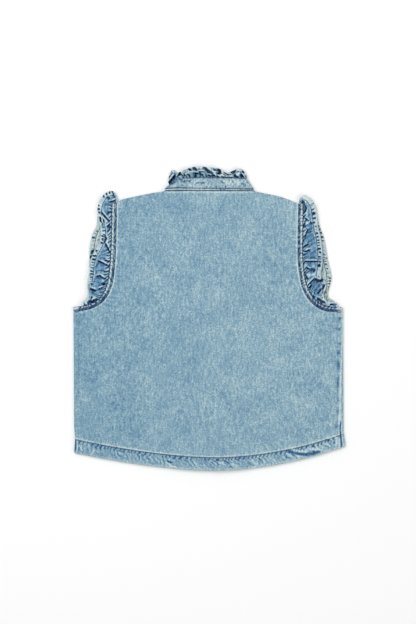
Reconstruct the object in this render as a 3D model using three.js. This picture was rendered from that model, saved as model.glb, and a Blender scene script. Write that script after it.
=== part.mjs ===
// A child's sleeveless denim vest with gathered ruffles, laid flat on its front.
// Millimetres, +Z up. X runs across the vest, +Y towards its collar, and Z = 0 is the
// table under the front panels. The back faces up, so the wearer's left is at -X.

import * as THREE from "three";

// Cloth, seams and layers
const CLOTH = 1.2; // thickness of the denim
const SEAM_GAP = 0.3; // air between two pieces at a seam
const BACK_LEVEL = 3.2; // underside of the back over the table
const CROWN = { rise: 2.2, flat: 14, foot: 62, fadeFrom: 150, fadeTo: 175 };
const COLUMN = 16; // pitch of a panel's columns of points

// Outline of the body
const ARMPIT_Y = 7.5; // where the side seams end
const YOKE_Y = 105; // below this a panel's rows are level
const SIDE_EDGE = { left: -156.9, right: 154.2 }; // where the panels meet the side seams
const NECK_HALF = 54; // from the centre to the neck end of a shoulder
const BACK_NECK_Y = 153.3;
const FRONT_NECK_Y = 118;
const SHOULDER_INSET = 0.8; // the fronts lie this much inside the back's shoulder
const SHOULDER_LINE = [
  { x: -113, y: 138.4 },
  { x: -103, y: 143.4 },
  { x: -87, y: 147 },
  { x: -69, y: 150.6 },
  { x: -54, y: 152.6 },
  { x: 54, y: 152.6 },
  { x: 66, y: 150.6 },
  { x: 83, y: 147 },
  { x: 94, y: 143.4 },
  { x: 103, y: 139.8 },
  { x: 110, y: 137 },
];

// Curved bottom edge and its turned-up hem
const HEM = { lowX: 3.6, lowY: -182.4, depthLeft: 16.2, depthRight: 15 };
const HEM_LEFT = { rise: 21, halfWidth: 164.4, power: 1.7 };
const HEM_RIGHT = { rise: 29.4, halfWidth: 159.6, power: 2 };
const PUCKER = { pitch: 8, slant: 0.9, columns: 3 };
// up is the share of the hem's depth, thick the cloth there, pucker the roping's height
const BACK_HEM = [
  { up: 0, thick: 1.7, pucker: 0.1 },
  { up: 0.14, thick: 2.5, pucker: 0.35 },
  { up: 0.45, thick: 2.7, pucker: 0.5 },
  { up: 0.78, thick: 2.5, pucker: 0.4 },
  { up: 1, thick: 1.9, pucker: 0.1 },
  { up: 1.1, thick: 2, pucker: 0 },
  { up: 1.3, thick: CLOTH, pucker: 0 },
];
const FRONT_HEM = [
  { up: 0, thick: 1.8 },
  { up: 0.14, thick: 2.4 },
  { up: 1, thick: 2.4 },
  { up: 1.12, thick: CLOTH },
];

// Front closing: the wearer's right front laps over the left one
const LAP_HALF = 10;
const LAP = { flat: 12, foot: 28, columns: 4, riseFrom: 2, riseTo: 22 };
const BUTTON = { radius: 7.5, rim: 0.5, thick: 1.7, dish: 0.5, sides: 16 };
const BUTTON_ROW = { count: 5, topY: 96, pitch: 50 };
const BUTTON_SPACE = BUTTON.thick + SEAM_GAP;

// Armhole stitch lines from the shoulder tip to the side seam
const ARMHOLE = {
  left: [
    [-112.8, 138.6],
    [-113.2, 105],
    [-114.8, 66.7],
    [-118.6, 40],
    [-128, 22.5],
    [-143, 13.4],
    [-162.8, 9.7],
  ],
  right: [
    [109.4, 138],
    [108.8, 100],
    [109.2, 66],
    [113.5, 39.4],
    [123, 22],
    [138, 11.6],
    [159.8, 9.8],
  ],
};
const PANEL_EDGE = -2.2; // from the armhole's stitch line, outwards positive
const BAND_COLUMNS = 28;
// out is measured from the stitch line, which lies in the band's channel
const BACK_BAND = [
  { out: -1.9, thick: 1.6 },
  { out: 0, thick: 1.1 },
  { out: 1.9, thick: 1.8 },
  { out: 3.8, thick: 1.4 },
];
const FRONT_BAND = [
  { out: -1.9, thick: 1.3 },
  { out: 3.8, thick: 1.3 },
];
const RUFFLE_START = 4.1;
const BAND_END_GAP = 0.5; // between the band's shoulder end and the ruffle turned over it

// Ruffles: vertical thickness of their wall, and each layer's gathers
const RUFFLE_WALL = 1.5;
const BACK_GATHERS = { count: 21, columns: 4, rows: 4, height: 1.1, drift: 0.7 };
const FRONT_GATHERS = { count: 21, columns: 2, rows: 3, height: 0.7, drift: 0.4 };
const BACK_COLLAR_GATHERS = { count: 25, columns: 4, rows: 3, height: 0.6, drift: 0.3 };
const FRONT_COLLAR_GATHERS = { count: 13, columns: 2, rows: 3, height: 0.6, drift: 0.2 };

// One row for each lobe or notch of a ruffle. along is the share of the armhole, and below
// zero it turns over the band's shoulder end. reach is the ruffle's width there, and lean
// turns it up towards the shoulder, in degrees.
const ARMHOLE_RUFFLES = {
  back_left: [
    { along: -0.042, reach: 6, lean: 88 },
    { along: -0.03, reach: 11, lean: 88 },
    { along: 0, reach: 14.5, lean: 84 },
    { along: 0.03, reach: 17.6, lean: 60 },
    { along: 0.06, reach: 18.6, lean: 40 },
    { along: 0.1, reach: 18.2, lean: 20 },
    { along: 0.15, reach: 14.6, lean: 0 },
    { along: 0.3, reach: 13.5, lean: 0 },
    { along: 0.36, reach: 17.5, lean: 0 },
    { along: 0.43, reach: 22.5, lean: 0 },
    { along: 0.57, reach: 24, lean: 0 },
    { along: 0.65, reach: 23.4, lean: 0 },
    { along: 0.75, reach: 20.7, lean: 0 },
    { along: 0.81, reach: 18.4, lean: 0 },
    { along: 0.86, reach: 9, lean: 0 },
    { along: 0.93, reach: 4, lean: 0 },
  ],
  back_right: [
    { along: -0.034, reach: 6, lean: 84 },
    { along: -0.02, reach: 8.5, lean: 84 },
    { along: 0, reach: 10, lean: 80 },
    { along: 0.03, reach: 13.8, lean: 60 },
    { along: 0.06, reach: 15.8, lean: 40 },
    { along: 0.1, reach: 16.4, lean: 20 },
    { along: 0.15, reach: 17.3, lean: 0 },
    { along: 0.25, reach: 20.8, lean: 0 },
    { along: 0.35, reach: 23, lean: 0 },
    { along: 0.43, reach: 23.2, lean: 0 },
    { along: 0.5, reach: 21.6, lean: 0 },
    { along: 0.57, reach: 19, lean: 0 },
    { along: 0.65, reach: 22, lean: 0 },
    { along: 0.74, reach: 19.8, lean: 0 },
    { along: 0.8, reach: 10, lean: 0 },
    { along: 0.96, reach: 5, lean: 0 },
  ],
  front_left: [
    { along: 0, reach: 9.5, lean: 80 },
    { along: 0.03, reach: 14, lean: 60 },
    { along: 0.06, reach: 15.5, lean: 40 },
    { along: 0.1, reach: 17, lean: 20 },
    { along: 0.15, reach: 17.5, lean: 0 },
    { along: 0.25, reach: 23, lean: 0 },
    { along: 0.35, reach: 25.5, lean: 0 },
    { along: 0.45, reach: 25, lean: 0 },
    { along: 0.6, reach: 23.4, lean: 0 },
    { along: 0.7, reach: 21, lean: 0 },
    { along: 0.8, reach: 17, lean: 0 },
    { along: 0.86, reach: 8.5, lean: 0 },
    { along: 0.92, reach: 3, lean: 0 },
  ],
  front_right: [
    { along: 0, reach: 6.5, lean: 80 },
    { along: 0.03, reach: 10.5, lean: 60 },
    { along: 0.06, reach: 12.5, lean: 40 },
    { along: 0.1, reach: 15.4, lean: 20 },
    { along: 0.15, reach: 19.2, lean: 0 },
    { along: 0.25, reach: 24.8, lean: 0 },
    { along: 0.35, reach: 28, lean: 0 },
    { along: 0.45, reach: 29.8, lean: 0 },
    { along: 0.55, reach: 31.6, lean: 0 },
    { along: 0.65, reach: 30.2, lean: 0 },
    { along: 0.75, reach: 26, lean: 0 },
    { along: 0.8, reach: 21, lean: 0 },
    { along: 0.86, reach: 12.5, lean: 0 },
    { along: 0.94, reach: 7, lean: 0 },
  ],
};

// Collar: a stand with a ruffle along its top
const STAND_HEIGHT = 16.2;
const STAND_THICK = 1.8;
const STAND_PITCH = 6;
const STAND_END = { x: 52, y: 152.6, slope: 1.35 }; // the front stand's slanted end
const BACK_STAND = [
  { x: -53, foot: 153.6, top: 156 },
  { x: -48.4, foot: 153.6, top: 160 },
  { x: -40, foot: 153.6, top: 165.8 },
  { x: -30, foot: 153.6, top: 168 },
  { x: -12, foot: 153.6, top: 169.6 },
  { x: 20, foot: 153.6, top: 168.8 },
  { x: 45, foot: 153.6, top: 168.2 },
  { x: 53.5, foot: 153.6, top: 155.5 },
];
// x is where a rib of the ruffle leaves the stand; a positive lean turns it to -X
const COLLAR_RUFFLES = {
  back: [
    { x: -38, reach: 7, lean: 15 },
    { x: -30, reach: 9.5, lean: 8 },
    { x: -22, reach: 12, lean: 0 },
    { x: -14, reach: 12.8, lean: 0 },
    { x: -2, reach: 12, lean: 0 },
    { x: 11, reach: 11, lean: 0 },
    { x: 22, reach: 5.8, lean: 0 },
    { x: 30, reach: 9, lean: 0 },
    { x: 35, reach: 11, lean: 0 },
    { x: 41, reach: 9.2, lean: 0 },
    { x: 45, reach: 3, lean: 0 },
  ],
  front_left: [
    { x: -48, reach: 4, lean: 20 },
    { x: -46, reach: 9, lean: 10 },
    { x: -43, reach: 13.5, lean: 2 },
    { x: -38, reach: 13.5, lean: 0 },
    { x: -30, reach: 12, lean: -10 },
    { x: -15, reach: 11, lean: 0 },
    { x: -3, reach: 11, lean: 0 },
  ],
  front_right: [
    { x: 3, reach: 11, lean: 0 },
    { x: 15, reach: 11, lean: 0 },
    { x: 30, reach: 10, lean: 10 },
    { x: 39, reach: 8, lean: 10 },
    { x: 43, reach: 3, lean: 10 },
  ],
};

// Side seams: the outer edge of the flattened side, from the armpit to the hem
const SIDE_OUTLINE = {
  left: [
    { y: -161.4, x: -161.8 },
    { y: -145, x: -160.9 },
    { y: -130, x: -162 },
    { y: 10, x: -162.8 },
  ],
  right: [
    { y: -153, x: 163.2 },
    { y: -141, x: 161.6 },
    { y: -128, x: 161.4 },
    { y: 10, x: 160.6 },
  ],
};
const SEAM_BEND = { radius: 2, steps: 4 };
const SEAM_STATIONS = [0, 0.05, 0.1, 0.125, 0.25, 0.45, 0.65, 0.85, 1];

const DENIM = new THREE.Color(0x8aabbc);
const PALE_DENIM = new THREE.Color(0xa7bfc3);
const GATHERED_DENIM = new THREE.Color(0x6f93a8);
const BUTTON_METAL = new THREE.Color(0x8f8d86);

const smooth = (from, to, value) => THREE.MathUtils.smoothstep(value, from, to);

// A value from a table whose rows are sorted by one column
function lookUp(table, key, at, column) {
  const next = table.findIndex((row) => row[key] >= at);
  if (next === 0) return table[0][column];
  if (next < 0) return table[table.length - 1][column];
  const below = table[next - 1];
  const above = table[next];
  const share = (at - below[key]) / (above[key] - below[key]);
  return THREE.MathUtils.lerp(below[column], above[column], share);
}

function shares(count) {
  return Array.from({ length: count + 1 }, (unused, i) => i / count);
}

// Walls of cloth
// A wall is two skins of points, in rows. A point knows u, its place along its row, and
// v, the place of its row, so that skins with different numbers of points can be joined.

function point(x, y, z, u, v) {
  return { x, y, z, u, v };
}

function zip(first, second, key, faces, flip) {
  let i = 0;
  let j = 0;
  while (i < first.length - 1 || j < second.length - 1) {
    const lastJ = j === second.length - 1;
    const firstGoes = i < first.length - 1 && (lastJ || first[i + 1][key] <= second[j + 1][key]);
    const moved = firstGoes ? first[i + 1] : second[j + 1];
    const face = [first[i], second[j], moved];
    faces.push(flip ? face.reverse() : face);
    if (firstGoes) i += 1;
    else j += 1;
  }
}

function skin(rows, faces, flip) {
  for (let k = 0; k + 1 < rows.length; k += 1) zip(rows[k], rows[k + 1], "u", faces, flip);
}

function rim(upper, lower, faces) {
  const last = (list) => list[list.length - 1];
  zip(lower[0], upper[0], "u", faces, true);
  zip(last(lower), last(upper), "u", faces, false);
  zip(lower.map((row) => row[0]), upper.map((row) => row[0]), "v", faces, false);
  zip(lower.map(last), upper.map(last), "v", faces, true);
}

function volumeOf(faces) {
  const corner = faces.map((face) => face.map((p) => new THREE.Vector3(p.x, p.y, p.z)));
  return corner.reduce((sum, [a, b, c]) => sum + a.dot(b.cross(c)) / 6, 0);
}

function clothWall(name, upper, lower, colour) {
  const faces = [];
  skin(upper, faces, true);
  skin(lower, faces, false);
  rim(upper, lower, faces);
  if (volumeOf(faces) < 0) faces.forEach((face) => face.reverse());
  const points = [...new Set(faces.flat())];
  const place = new Map(points.map((p, i) => [p, i]));
  const geometry = new THREE.BufferGeometry();
  const positions = points.flatMap((p) => [p.x, p.y, p.z]);
  geometry.setAttribute("position", new THREE.Float32BufferAttribute(positions, 3));
  geometry.setIndex(faces.flat().map((p) => place.get(p)));
  geometry.computeVertexNormals();
  return named(name, geometry, colour, 0.9, 0);
}

function named(name, geometry, color, roughness, metalness) {
  const mesh = new THREE.Mesh(
    geometry,
    new THREE.MeshStandardMaterial({ color, roughness, metalness }),
  );
  mesh.name = name;
  return mesh;
}

// Heights of the layers

function bottomY(x) {
  const side = x < HEM.lowX ? HEM_LEFT : HEM_RIGHT;
  return HEM.lowY + side.rise * (Math.abs(x - HEM.lowX) / side.halfWidth) ** side.power;
}

function hemDepth(x) {
  return THREE.MathUtils.mapLinear(x, -160, 160, HEM.depthLeft, HEM.depthRight);
}

const hemShare = (x, y) => (y - bottomY(x)) / hemDepth(x);

const shoulderY = (x) => lookUp(SHOULDER_LINE, "x", x, "y");

function backUnder(x, y) {
  const across = 1 - smooth(CROWN.flat, CROWN.foot, Math.abs(x));
  const crown = CROWN.rise * across * (1 - smooth(CROWN.fadeFrom, CROWN.fadeTo, y));
  const shoulder = smooth(NECK_HALF - 2, NECK_HALF + 8, Math.abs(x));
  const nearEdge = 1 - smooth(0, 12, shoulderY(x) - y);
  return BACK_LEVEL + crown - (BACK_LEVEL - CLOTH - SEAM_GAP) * shoulder * nearEdge;
}

const topOfBackAt = (x, y) =>
  backUnder(x, y) + lookUp(BACK_HEM, "up", hemShare(x, y), "thick");

const frontThick = (x, y) => lookUp(FRONT_HEM, "up", hemShare(x, y), "thick");

// The outer lap clears the buttons, and the inner lap clears the outer one
function lapRise(x, y) {
  const stitchY = bottomY(x) + hemDepth(x);
  return BUTTON_SPACE * smooth(stitchY + LAP.riseFrom, stitchY + LAP.riseTo, y);
}

function frontUnder(side, x, y) {
  if (side === "right") return lapRise(x, y) * (1 - smooth(LAP.flat, LAP.foot, x));
  const overLap = lapRise(x, y) + frontThick(x, y) + SEAM_GAP;
  return overLap * (1 - smooth(LAP.flat, LAP.foot, -x));
}

// Armholes

function armholeOf(side) {
  const sign = side === "left" ? -1 : 1;
  const curve = new THREE.SplineCurve(ARMHOLE[side].map(([x, y]) => new THREE.Vector2(x, y)));
  const at = (along, out) => {
    const spot = curve.getPointAt(along);
    const way = curve.getTangentAt(along);
    return { x: spot.x - sign * way.y * out, y: spot.y + sign * way.x * out, way, sign };
  };
  const edge = shares(120)
    .map((along) => at(along, PANEL_EDGE))
    .map(({ x, y }) => ({ x, y }))
    .sort((a, b) => a.y - b.y);
  const edgeX = (y) => {
    const x = lookUp(edge, "y", y, "x");
    return sign < 0 ? Math.max(x, SIDE_EDGE.left) : Math.min(x, SIDE_EDGE.right);
  };
  return { at, edgeX, length: curve.getLength() };
}

const ARMHOLES = { left: armholeOf("left"), right: armholeOf("right") };

// Panels
// Each row of a panel is a height across it, y(x), between the panel's two edges.

const TO_ARMPIT = [0.12, 0.3, 0.5, 0.7, 0.87];
const ARMHOLE_LEVELS = [ARMPIT_Y, 8.8, 11, 14.5, 19, 26, 36, 48, 62, 78, 92, YOKE_Y];
const TO_SHOULDER = [0.3, 0.6, 0.85, 1];

function panelLines(hemTable, topY) {
  const hemTop = hemTable[hemTable.length - 1].up;
  const hemLine = (up) => (x) => bottomY(x) + up * hemDepth(x);
  const lastHem = hemLine(hemTop);
  const between = (share) => (x) => THREE.MathUtils.lerp(lastHem(x), ARMPIT_Y, share);
  const above = (share) => (x) => THREE.MathUtils.lerp(YOKE_Y, topY(x), share);
  return [
    ...hemTable.map((row) => ({ y: hemLine(row.up), pucker: row.pucker })),
    ...TO_ARMPIT.map((share) => ({ y: between(share) })),
    ...ARMHOLE_LEVELS.map((level) => ({ y: () => level })),
    ...TO_SHOULDER.map((share) => ({ y: above(share), neck: true })),
  ];
}

// The x where a row meets an armhole, found by settling on both the row and the edge
function armholeX(side, y) {
  let x = SIDE_EDGE[side];
  for (let turn = 0; turn < 12; turn += 1) x = ARMHOLES[side].edgeX(y(x));
  return x;
}

function columnsBetween(from, to, pitch) {
  const first = Math.ceil((from + pitch / 3) / pitch);
  const last = Math.floor((to - pitch / 3) / pitch);
  const inner = Array.from({ length: last - first + 1 }, (unused, i) => (first + i) * pitch);
  return [from, ...inner, to];
}

function panelRows(lines, columnsOf, heightOf) {
  return lines.map((line, v) =>
    columnsOf(line).map((x) => point(x, line.y(x), heightOf(x, line.y(x)), x, v)),
  );
}

function roping(x, y) {
  const height = lookUp(BACK_HEM, "up", hemShare(x, y), "pucker");
  const turn = (x + PUCKER.slant * (y - bottomY(x))) / PUCKER.pitch;
  return height * Math.sin(2 * Math.PI * turn);
}

function backPanel() {
  const topY = (x) => (Math.abs(x) < NECK_HALF ? BACK_NECK_Y : shoulderY(x));
  const lines = panelLines(BACK_HEM, topY);
  const columns = ({ y }, pitch) =>
    columnsBetween(armholeX("left", y), armholeX("right", y), pitch);
  const finePitch = PUCKER.pitch / PUCKER.columns;
  const upperColumns = (line) => columns(line, line.pucker ? finePitch : COLUMN);
  const lowerColumns = (line) => columns(line, COLUMN);
  const topOf = (x, y) => topOfBackAt(x, y) + roping(x, y);
  const upper = panelRows(lines, upperColumns, topOf);
  const lower = panelRows(lines, lowerColumns, backUnder);
  return clothWall("back_panel", upper, lower, DENIM);
}

// Even columns outside the lap, closer ones up its slope, and the stand's own at the neck
function frontColumns(side, from, to, neck) {
  const sign = side === "left" ? -1 : 1;
  const lap = shares(LAP.columns).map((s) => sign * THREE.MathUtils.lerp(LAP.flat, LAP.foot, s));
  const stand = columnsBetween(from, to, STAND_PITCH).slice(1, -1);
  const close = neck ? stand.filter((x) => Math.abs(x) <= NECK_HALF) : lap;
  const even = columnsBetween(from, to, COLUMN).slice(1, -1);
  const outside = even.filter((x) => sign * x > (neck ? NECK_HALF : LAP.foot) + 2);
  return [from, ...[...outside, ...close].sort((a, b) => a - b), to];
}

function frontPanel(side) {
  const neckY = (x) =>
    FRONT_NECK_Y + (shoulderY(NECK_HALF) - FRONT_NECK_Y) * smooth(0, NECK_HALF, Math.abs(x));
  const topY = (x) => (Math.abs(x) < NECK_HALF ? neckY(x) : shoulderY(x)) - SHOULDER_INSET;
  const lines = panelLines(FRONT_HEM, topY);
  const columns = ({ y, neck }) => {
    const sideX = armholeX(side, y);
    const ends = side === "left" ? [sideX, LAP_HALF] : [-LAP_HALF, sideX];
    return frontColumns(side, ...ends, neck);
  };
  const under = (x, y) => frontUnder(side, x, y);
  const upper = panelRows(lines, columns, (x, y) => under(x, y) + frontThick(x, y));
  const lower = panelRows(lines, columns, under);
  return clothWall(`front_panel_${side}`, upper, lower, DENIM);
}

// Side seams: a strip round each flattened side, from the fronts up to the back

function sideSeam(side) {
  const sign = side === "left" ? -1 : 1;
  const rowsAt = (inset) =>
    SEAM_STATIONS.map((share, v) => {
      const yOf = (x) => THREE.MathUtils.lerp(bottomY(x), ARMPIT_Y - SEAM_GAP, share);
      const outerX = lookUp(SIDE_OUTLINE[side], "y", yOf(SIDE_EDGE[side]), "x");
      const innerX = SIDE_EDGE[side] + sign * SEAM_GAP;
      const top = topOfBackAt(SIDE_EDGE[side], yOf(SIDE_EDGE[side]));
      const radius = SEAM_BEND.radius - inset;
      const bendX = outerX - sign * SEAM_BEND.radius;
      const corner = (z, turn) => ({
        x: bendX + sign * radius * Math.cos(turn),
        z: z + radius * Math.sin(turn),
      });
      const quarter = Math.PI / 2;
      const section = [
        { x: innerX, z: inset },
        ...shares(SEAM_BEND.steps).map((s) => corner(SEAM_BEND.radius, quarter * (s - 1))),
        ...shares(SEAM_BEND.steps).map((s) => corner(top - SEAM_BEND.radius, quarter * s)),
        { x: innerX, z: top - inset },
      ];
      const ordered = sign < 0 ? section : section.reverse();
      return ordered.map(({ x, z }, u) => point(x, yOf(x), z, u, v));
    });
  return clothWall(`side_seam_${side}`, rowsAt(0), rowsAt(CLOTH), DENIM);
}

// Armhole bands and ruffles

function armholeBand(layer, side) {
  const table = layer === "back" ? BACK_BAND : FRONT_BAND;
  const under = layer === "back" ? backUnder : () => 0;
  const rows = (thickOf) =>
    table.map((row, v) =>
      shares(BAND_COLUMNS).map((along) => {
        const { x, y } = ARMHOLES[side].at(along, row.out);
        return point(x, y, under(x, y) + thickOf(row), along, v);
      }),
    );
  const name = `armhole_band_${layer}_${side}`;
  return clothWall(name, rows((row) => row.thick), rows(() => 0), PALE_DENIM);
}

// A gathered strip: its waves are fullest at the middle and lean along the seam
function gatheredWall(name, gathers, ribOf, under, colour) {
  const rows = (lift) =>
    shares(gathers.rows).map((out, v) =>
      shares(gathers.count * gathers.columns).map((along) => {
        const { x, y } = ribOf(along, out);
        const turn = gathers.count * along + gathers.drift * out;
        const fullness = 0.55 + 0.45 * Math.sin(Math.PI * Math.min(1, out * 1.3));
        const wave = gathers.height * fullness * (1 + Math.cos(2 * Math.PI * turn));
        return point(x, y, under(x, y) + wave + lift, along, v);
      }),
    );
  return clothWall(name, rows(RUFFLE_WALL), rows(0), colour);
}

function armholeRuffle(layer, side) {
  const table = ARMHOLE_RUFFLES[`${layer}_${side}`];
  const start = table[0].along;
  const end = table[table.length - 1].along;
  const { at, length } = ARMHOLES[side];
  const ribOf = (share, out) => {
    const along = THREE.MathUtils.lerp(start, end, share);
    const overBand = Math.max(0, -along) * length;
    const { x, y, way, sign } = at(Math.max(0, along), RUFFLE_START - overBand);
    const reach = out * lookUp(table, "along", along, "reach");
    const lean = THREE.MathUtils.degToRad(lookUp(table, "along", along, "lean"));
    const across = sign * reach * Math.cos(lean);
    const up = reach * Math.sin(lean) + (overBand > 0 ? BAND_END_GAP : 0);
    return { x: x - way.y * across - way.x * up, y: y + way.x * across - way.y * up };
  };
  const gathers = layer === "back" ? BACK_GATHERS : FRONT_GATHERS;
  const under = () => (layer === "back" ? BACK_LEVEL : 0);
  return gatheredWall(`armhole_ruffle_${layer}_${side}`, gathers, ribOf, under, GATHERED_DENIM);
}

// Collar stands and ruffles

function frontFootY(x) {
  const rise = shoulderY(NECK_HALF) - FRONT_NECK_Y;
  return FRONT_NECK_Y + rise * smooth(0, NECK_HALF, Math.abs(x)) + SEAM_GAP - SHOULDER_INSET;
}

function frontStandTop(x) {
  const slanted = STAND_END.y + (NECK_HALF - Math.abs(x)) * STAND_END.slope;
  return Math.min(frontFootY(x) + STAND_HEIGHT, slanted);
}

function standWall(name, xs, footY, topY, under, thick) {
  const rows = (lift) =>
    shares(3).map((share, v) =>
      xs.map((x) => {
        const y = THREE.MathUtils.lerp(footY(x), topY(x), share);
        return point(x, y, under(x, y) + lift, x, v);
      }),
    );
  return clothWall(name, rows(thick), rows(0), PALE_DENIM);
}

const backStandTop = (x) => lookUp(BACK_STAND, "x", x, "top");

function backStand() {
  const foot = (x) => lookUp(BACK_STAND, "x", x, "foot");
  const from = BACK_STAND[0].x;
  const to = BACK_STAND[BACK_STAND.length - 1].x;
  const xs = columnsBetween(from, to, STAND_PITCH);
  return standWall("collar_stand_back", xs, foot, backStandTop, backUnder, STAND_THICK);
}

function frontStand(side) {
  const ends = side === "left" ? [-STAND_END.x, LAP_HALF] : [-LAP_HALF, STAND_END.x];
  const xs = columnsBetween(...ends, STAND_PITCH);
  const under = (x, y) => frontUnder(side, x, y);
  return standWall(`collar_stand_front_${side}`, xs, frontFootY, frontStandTop, under, CLOTH);
}

function collarRuffle(piece) {
  const table = COLLAR_RUFFLES[piece];
  const back = piece === "back";
  const topY = back ? backStandTop : frontStandTop;
  const from = table[0].x;
  const to = table[table.length - 1].x;
  const ribOf = (along, out) => {
    const x = THREE.MathUtils.lerp(from, to, along);
    const reach = out * lookUp(table, "x", x, "reach");
    const lean = THREE.MathUtils.degToRad(lookUp(table, "x", x, "lean"));
    return { x: x - reach * Math.sin(lean), y: topY(x) + SEAM_GAP + reach * Math.cos(lean) };
  };
  const side = piece.replace("front_", "");
  const under = back ? backUnder : (x, y) => 0.6 * frontUnder(side, x, y);
  const gathers = back ? BACK_COLLAR_GATHERS : FRONT_COLLAR_GATHERS;
  return gatheredWall(`collar_ruffle_${piece}`, gathers, ribOf, under, GATHERED_DENIM);
}

// Buttons: shallow dished discs, their faces on the table

function button(name, y) {
  const { radius, rim: edge, thick, dish } = BUTTON;
  const profile = [
    [0, 0],
    [radius - edge, 0],
    [radius, edge],
    [radius, thick],
    [radius * 0.7, thick],
    [radius * 0.6, thick - dish],
    [0, thick - dish],
  ];
  const geometry = new THREE.LatheGeometry(
    profile.map(([r, z]) => new THREE.Vector2(r, z)),
    BUTTON.sides,
  );
  geometry.rotateX(Math.PI / 2);
  const mesh = named(name, geometry, BUTTON_METAL, 0.4, 0.85);
  mesh.position.set(0, y, 0);
  return mesh;
}

const garment = new THREE.Group();
garment.add(backPanel(), backStand(), collarRuffle("back"));
for (const side of ["left", "right"]) {
  garment.add(frontPanel(side), frontStand(side), collarRuffle(`front_${side}`), sideSeam(side));
  for (const layer of ["back", "front"]) {
    garment.add(armholeBand(layer, side), armholeRuffle(layer, side));
  }
}
for (let i = 0; i < BUTTON_ROW.count; i += 1) {
  garment.add(button(`button_${i + 1}`, BUTTON_ROW.topY - i * BUTTON_ROW.pitch));
}
garment.add(button("button_collar", FRONT_NECK_Y + STAND_HEIGHT / 2));

// The outline's middle is the origin
const middle = new THREE.Box3().setFromObject(garment).getCenter(new THREE.Vector3());
garment.position.set(-middle.x, -middle.y, 0);

export default garment;
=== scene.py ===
# A child's sleeveless denim vest with gathered ruffles, laid flat on its front.
# Sizes in the tables are millimetres in the vest's own frame: X across, +Y towards the collar
# and Z up from the table. The back faces up, so the wearer's left is at -X.

import math
from collections import namedtuple

import bpy
import numpy as np
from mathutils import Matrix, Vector


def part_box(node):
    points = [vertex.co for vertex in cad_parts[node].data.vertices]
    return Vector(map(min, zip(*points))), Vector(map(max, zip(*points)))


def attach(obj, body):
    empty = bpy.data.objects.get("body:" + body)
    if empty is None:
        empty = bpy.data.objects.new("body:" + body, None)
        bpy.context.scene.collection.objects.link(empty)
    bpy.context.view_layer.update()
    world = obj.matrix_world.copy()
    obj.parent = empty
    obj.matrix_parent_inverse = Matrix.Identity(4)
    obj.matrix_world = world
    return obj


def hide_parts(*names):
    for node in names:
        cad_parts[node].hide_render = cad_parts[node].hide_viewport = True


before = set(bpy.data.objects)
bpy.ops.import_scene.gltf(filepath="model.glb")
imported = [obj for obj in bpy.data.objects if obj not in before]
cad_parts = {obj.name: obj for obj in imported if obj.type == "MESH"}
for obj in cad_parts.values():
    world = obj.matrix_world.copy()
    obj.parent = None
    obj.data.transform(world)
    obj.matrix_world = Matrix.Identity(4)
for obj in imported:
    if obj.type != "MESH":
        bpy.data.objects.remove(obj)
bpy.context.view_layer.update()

MM = 0.001

# Cloth, hems and layers
CLOTH = 1.0
RUFFLE_CLOTH = 0.9
COLLAR_CLOTH = 0.8
SEAM_GAP = 0.3
BACK_LEVEL = 3.2  # underside of the back over the table
CROWN_RISE = 2.2  # the back rides over the fronts' lap
SHOULDER_DROP = 1.7
NECK_HALF = 54
BACK_NECK_Y = 153.3
FRONT_NECK_Y = 118
ARMPIT_Y = 7.5
YOKE_Y = 105
SIDE_EDGE = {"left": -156.9, "right": 154.2}
SIGN = {"left": -1, "right": 1}
HEM_LOW = (3.6, -182.4)
PANEL_EDGE = -2.2  # from an armhole's stitch line, outwards positive
BAND = (-1.9, 3.8)
RUFFLE_START = 4.1
RUFFLE_HEM = 5.4
COLLAR_HEM = 3.6
STAND_HEIGHT = 16.2
LAP_HALF = 10
LAP_SLOPE = (12, 28)
BUTTON_SPACE = 2.0
BUTTONS_Y = (96, 46, -4, -54, -104, 126.1)

# Spacing of what repeats along a seam
HEM_DASH = 4.8
HEM_ROPE = 5.6
UNDER_ROPE = 7.4
ARMHOLE_PUCKER = 4.9
RIDGE_WAVE = 6.1
SIDE_DENT = 14.5
BUNCH = 4.6
PLEAT = 4.5
FOLD = 9.6
RUFFLE_DASH = 4.3
FULLNESS = 1.4  # cloth gathered into each millimetre of a ruffle's seam

# How far a run of stitches stands over its cloth
HEM_LIFT = 0.12
UNDER_LIFT = 0.35
PLACKET_LIFT = 0.26
BAND_LIFT = -0.05
RUFFLE_LIFT = 0.35
COLLAR_LIFT = 0.3


def table(names, *rows):
    """Named columns of a table that has a row for each section or fold."""
    return dict(zip(names.split(), np.array(rows, float).T))


def lookup(rows, at):
    """The second column of a table, read at places in its first."""
    return np.interp(at, *rows.values())


SHOULDER = table(
    "x y",
    (-113, 138.4), (-103, 143.4), (-87, 147), (-69, 150.6), (-54, 152.6),
    (54, 152.6), (66, 150.6), (83, 147), (94, 143.4), (103, 139.8), (110, 137),
)
HEM_SIDES = {"left": (21, 164.4, 1.7), "right": (29.4, 159.6, 2)}  # rise, half width, power
BACK_HEM = table(
    "up thick",
    (0, 1.3), (0.05, 1.9), (0.14, 2.4), (0.45, 2.6), (0.8, 2.4), (1, 2.0), (1.1, 1.9), (1.3, 1.2),
)
FRONT_HEM = table("up thick", (0, 1.4), (0.08, 2.2), (1, 2.4), (1.12, 1.2))
BAND_HEIGHT = {
    "back": table(
        "out thick", (-1.9, 1.3), (-1.5, 1.6), (0, 1.1), (1.9, 1.8), (3.4, 1.6), (3.8, 1.3)
    ),
    "front": table("out thick", (-1.9, 1.1), (-1.4, 1.3), (3.3, 1.3), (3.8, 1.1)),
}
ARMHOLE_POINTS = {
    "left": [
        (-112.8, 138.6), (-113.2, 105), (-114.8, 66.7), (-118.6, 40), (-128, 22.5),
        (-143, 13.4), (-162.8, 9.7),
    ],
    "right": [
        (109.4, 138), (108.8, 100), (109.2, 66), (113.5, 39.4), (123, 22),
        (138, 11.6), (159.8, 9.8),
    ],
}
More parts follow.
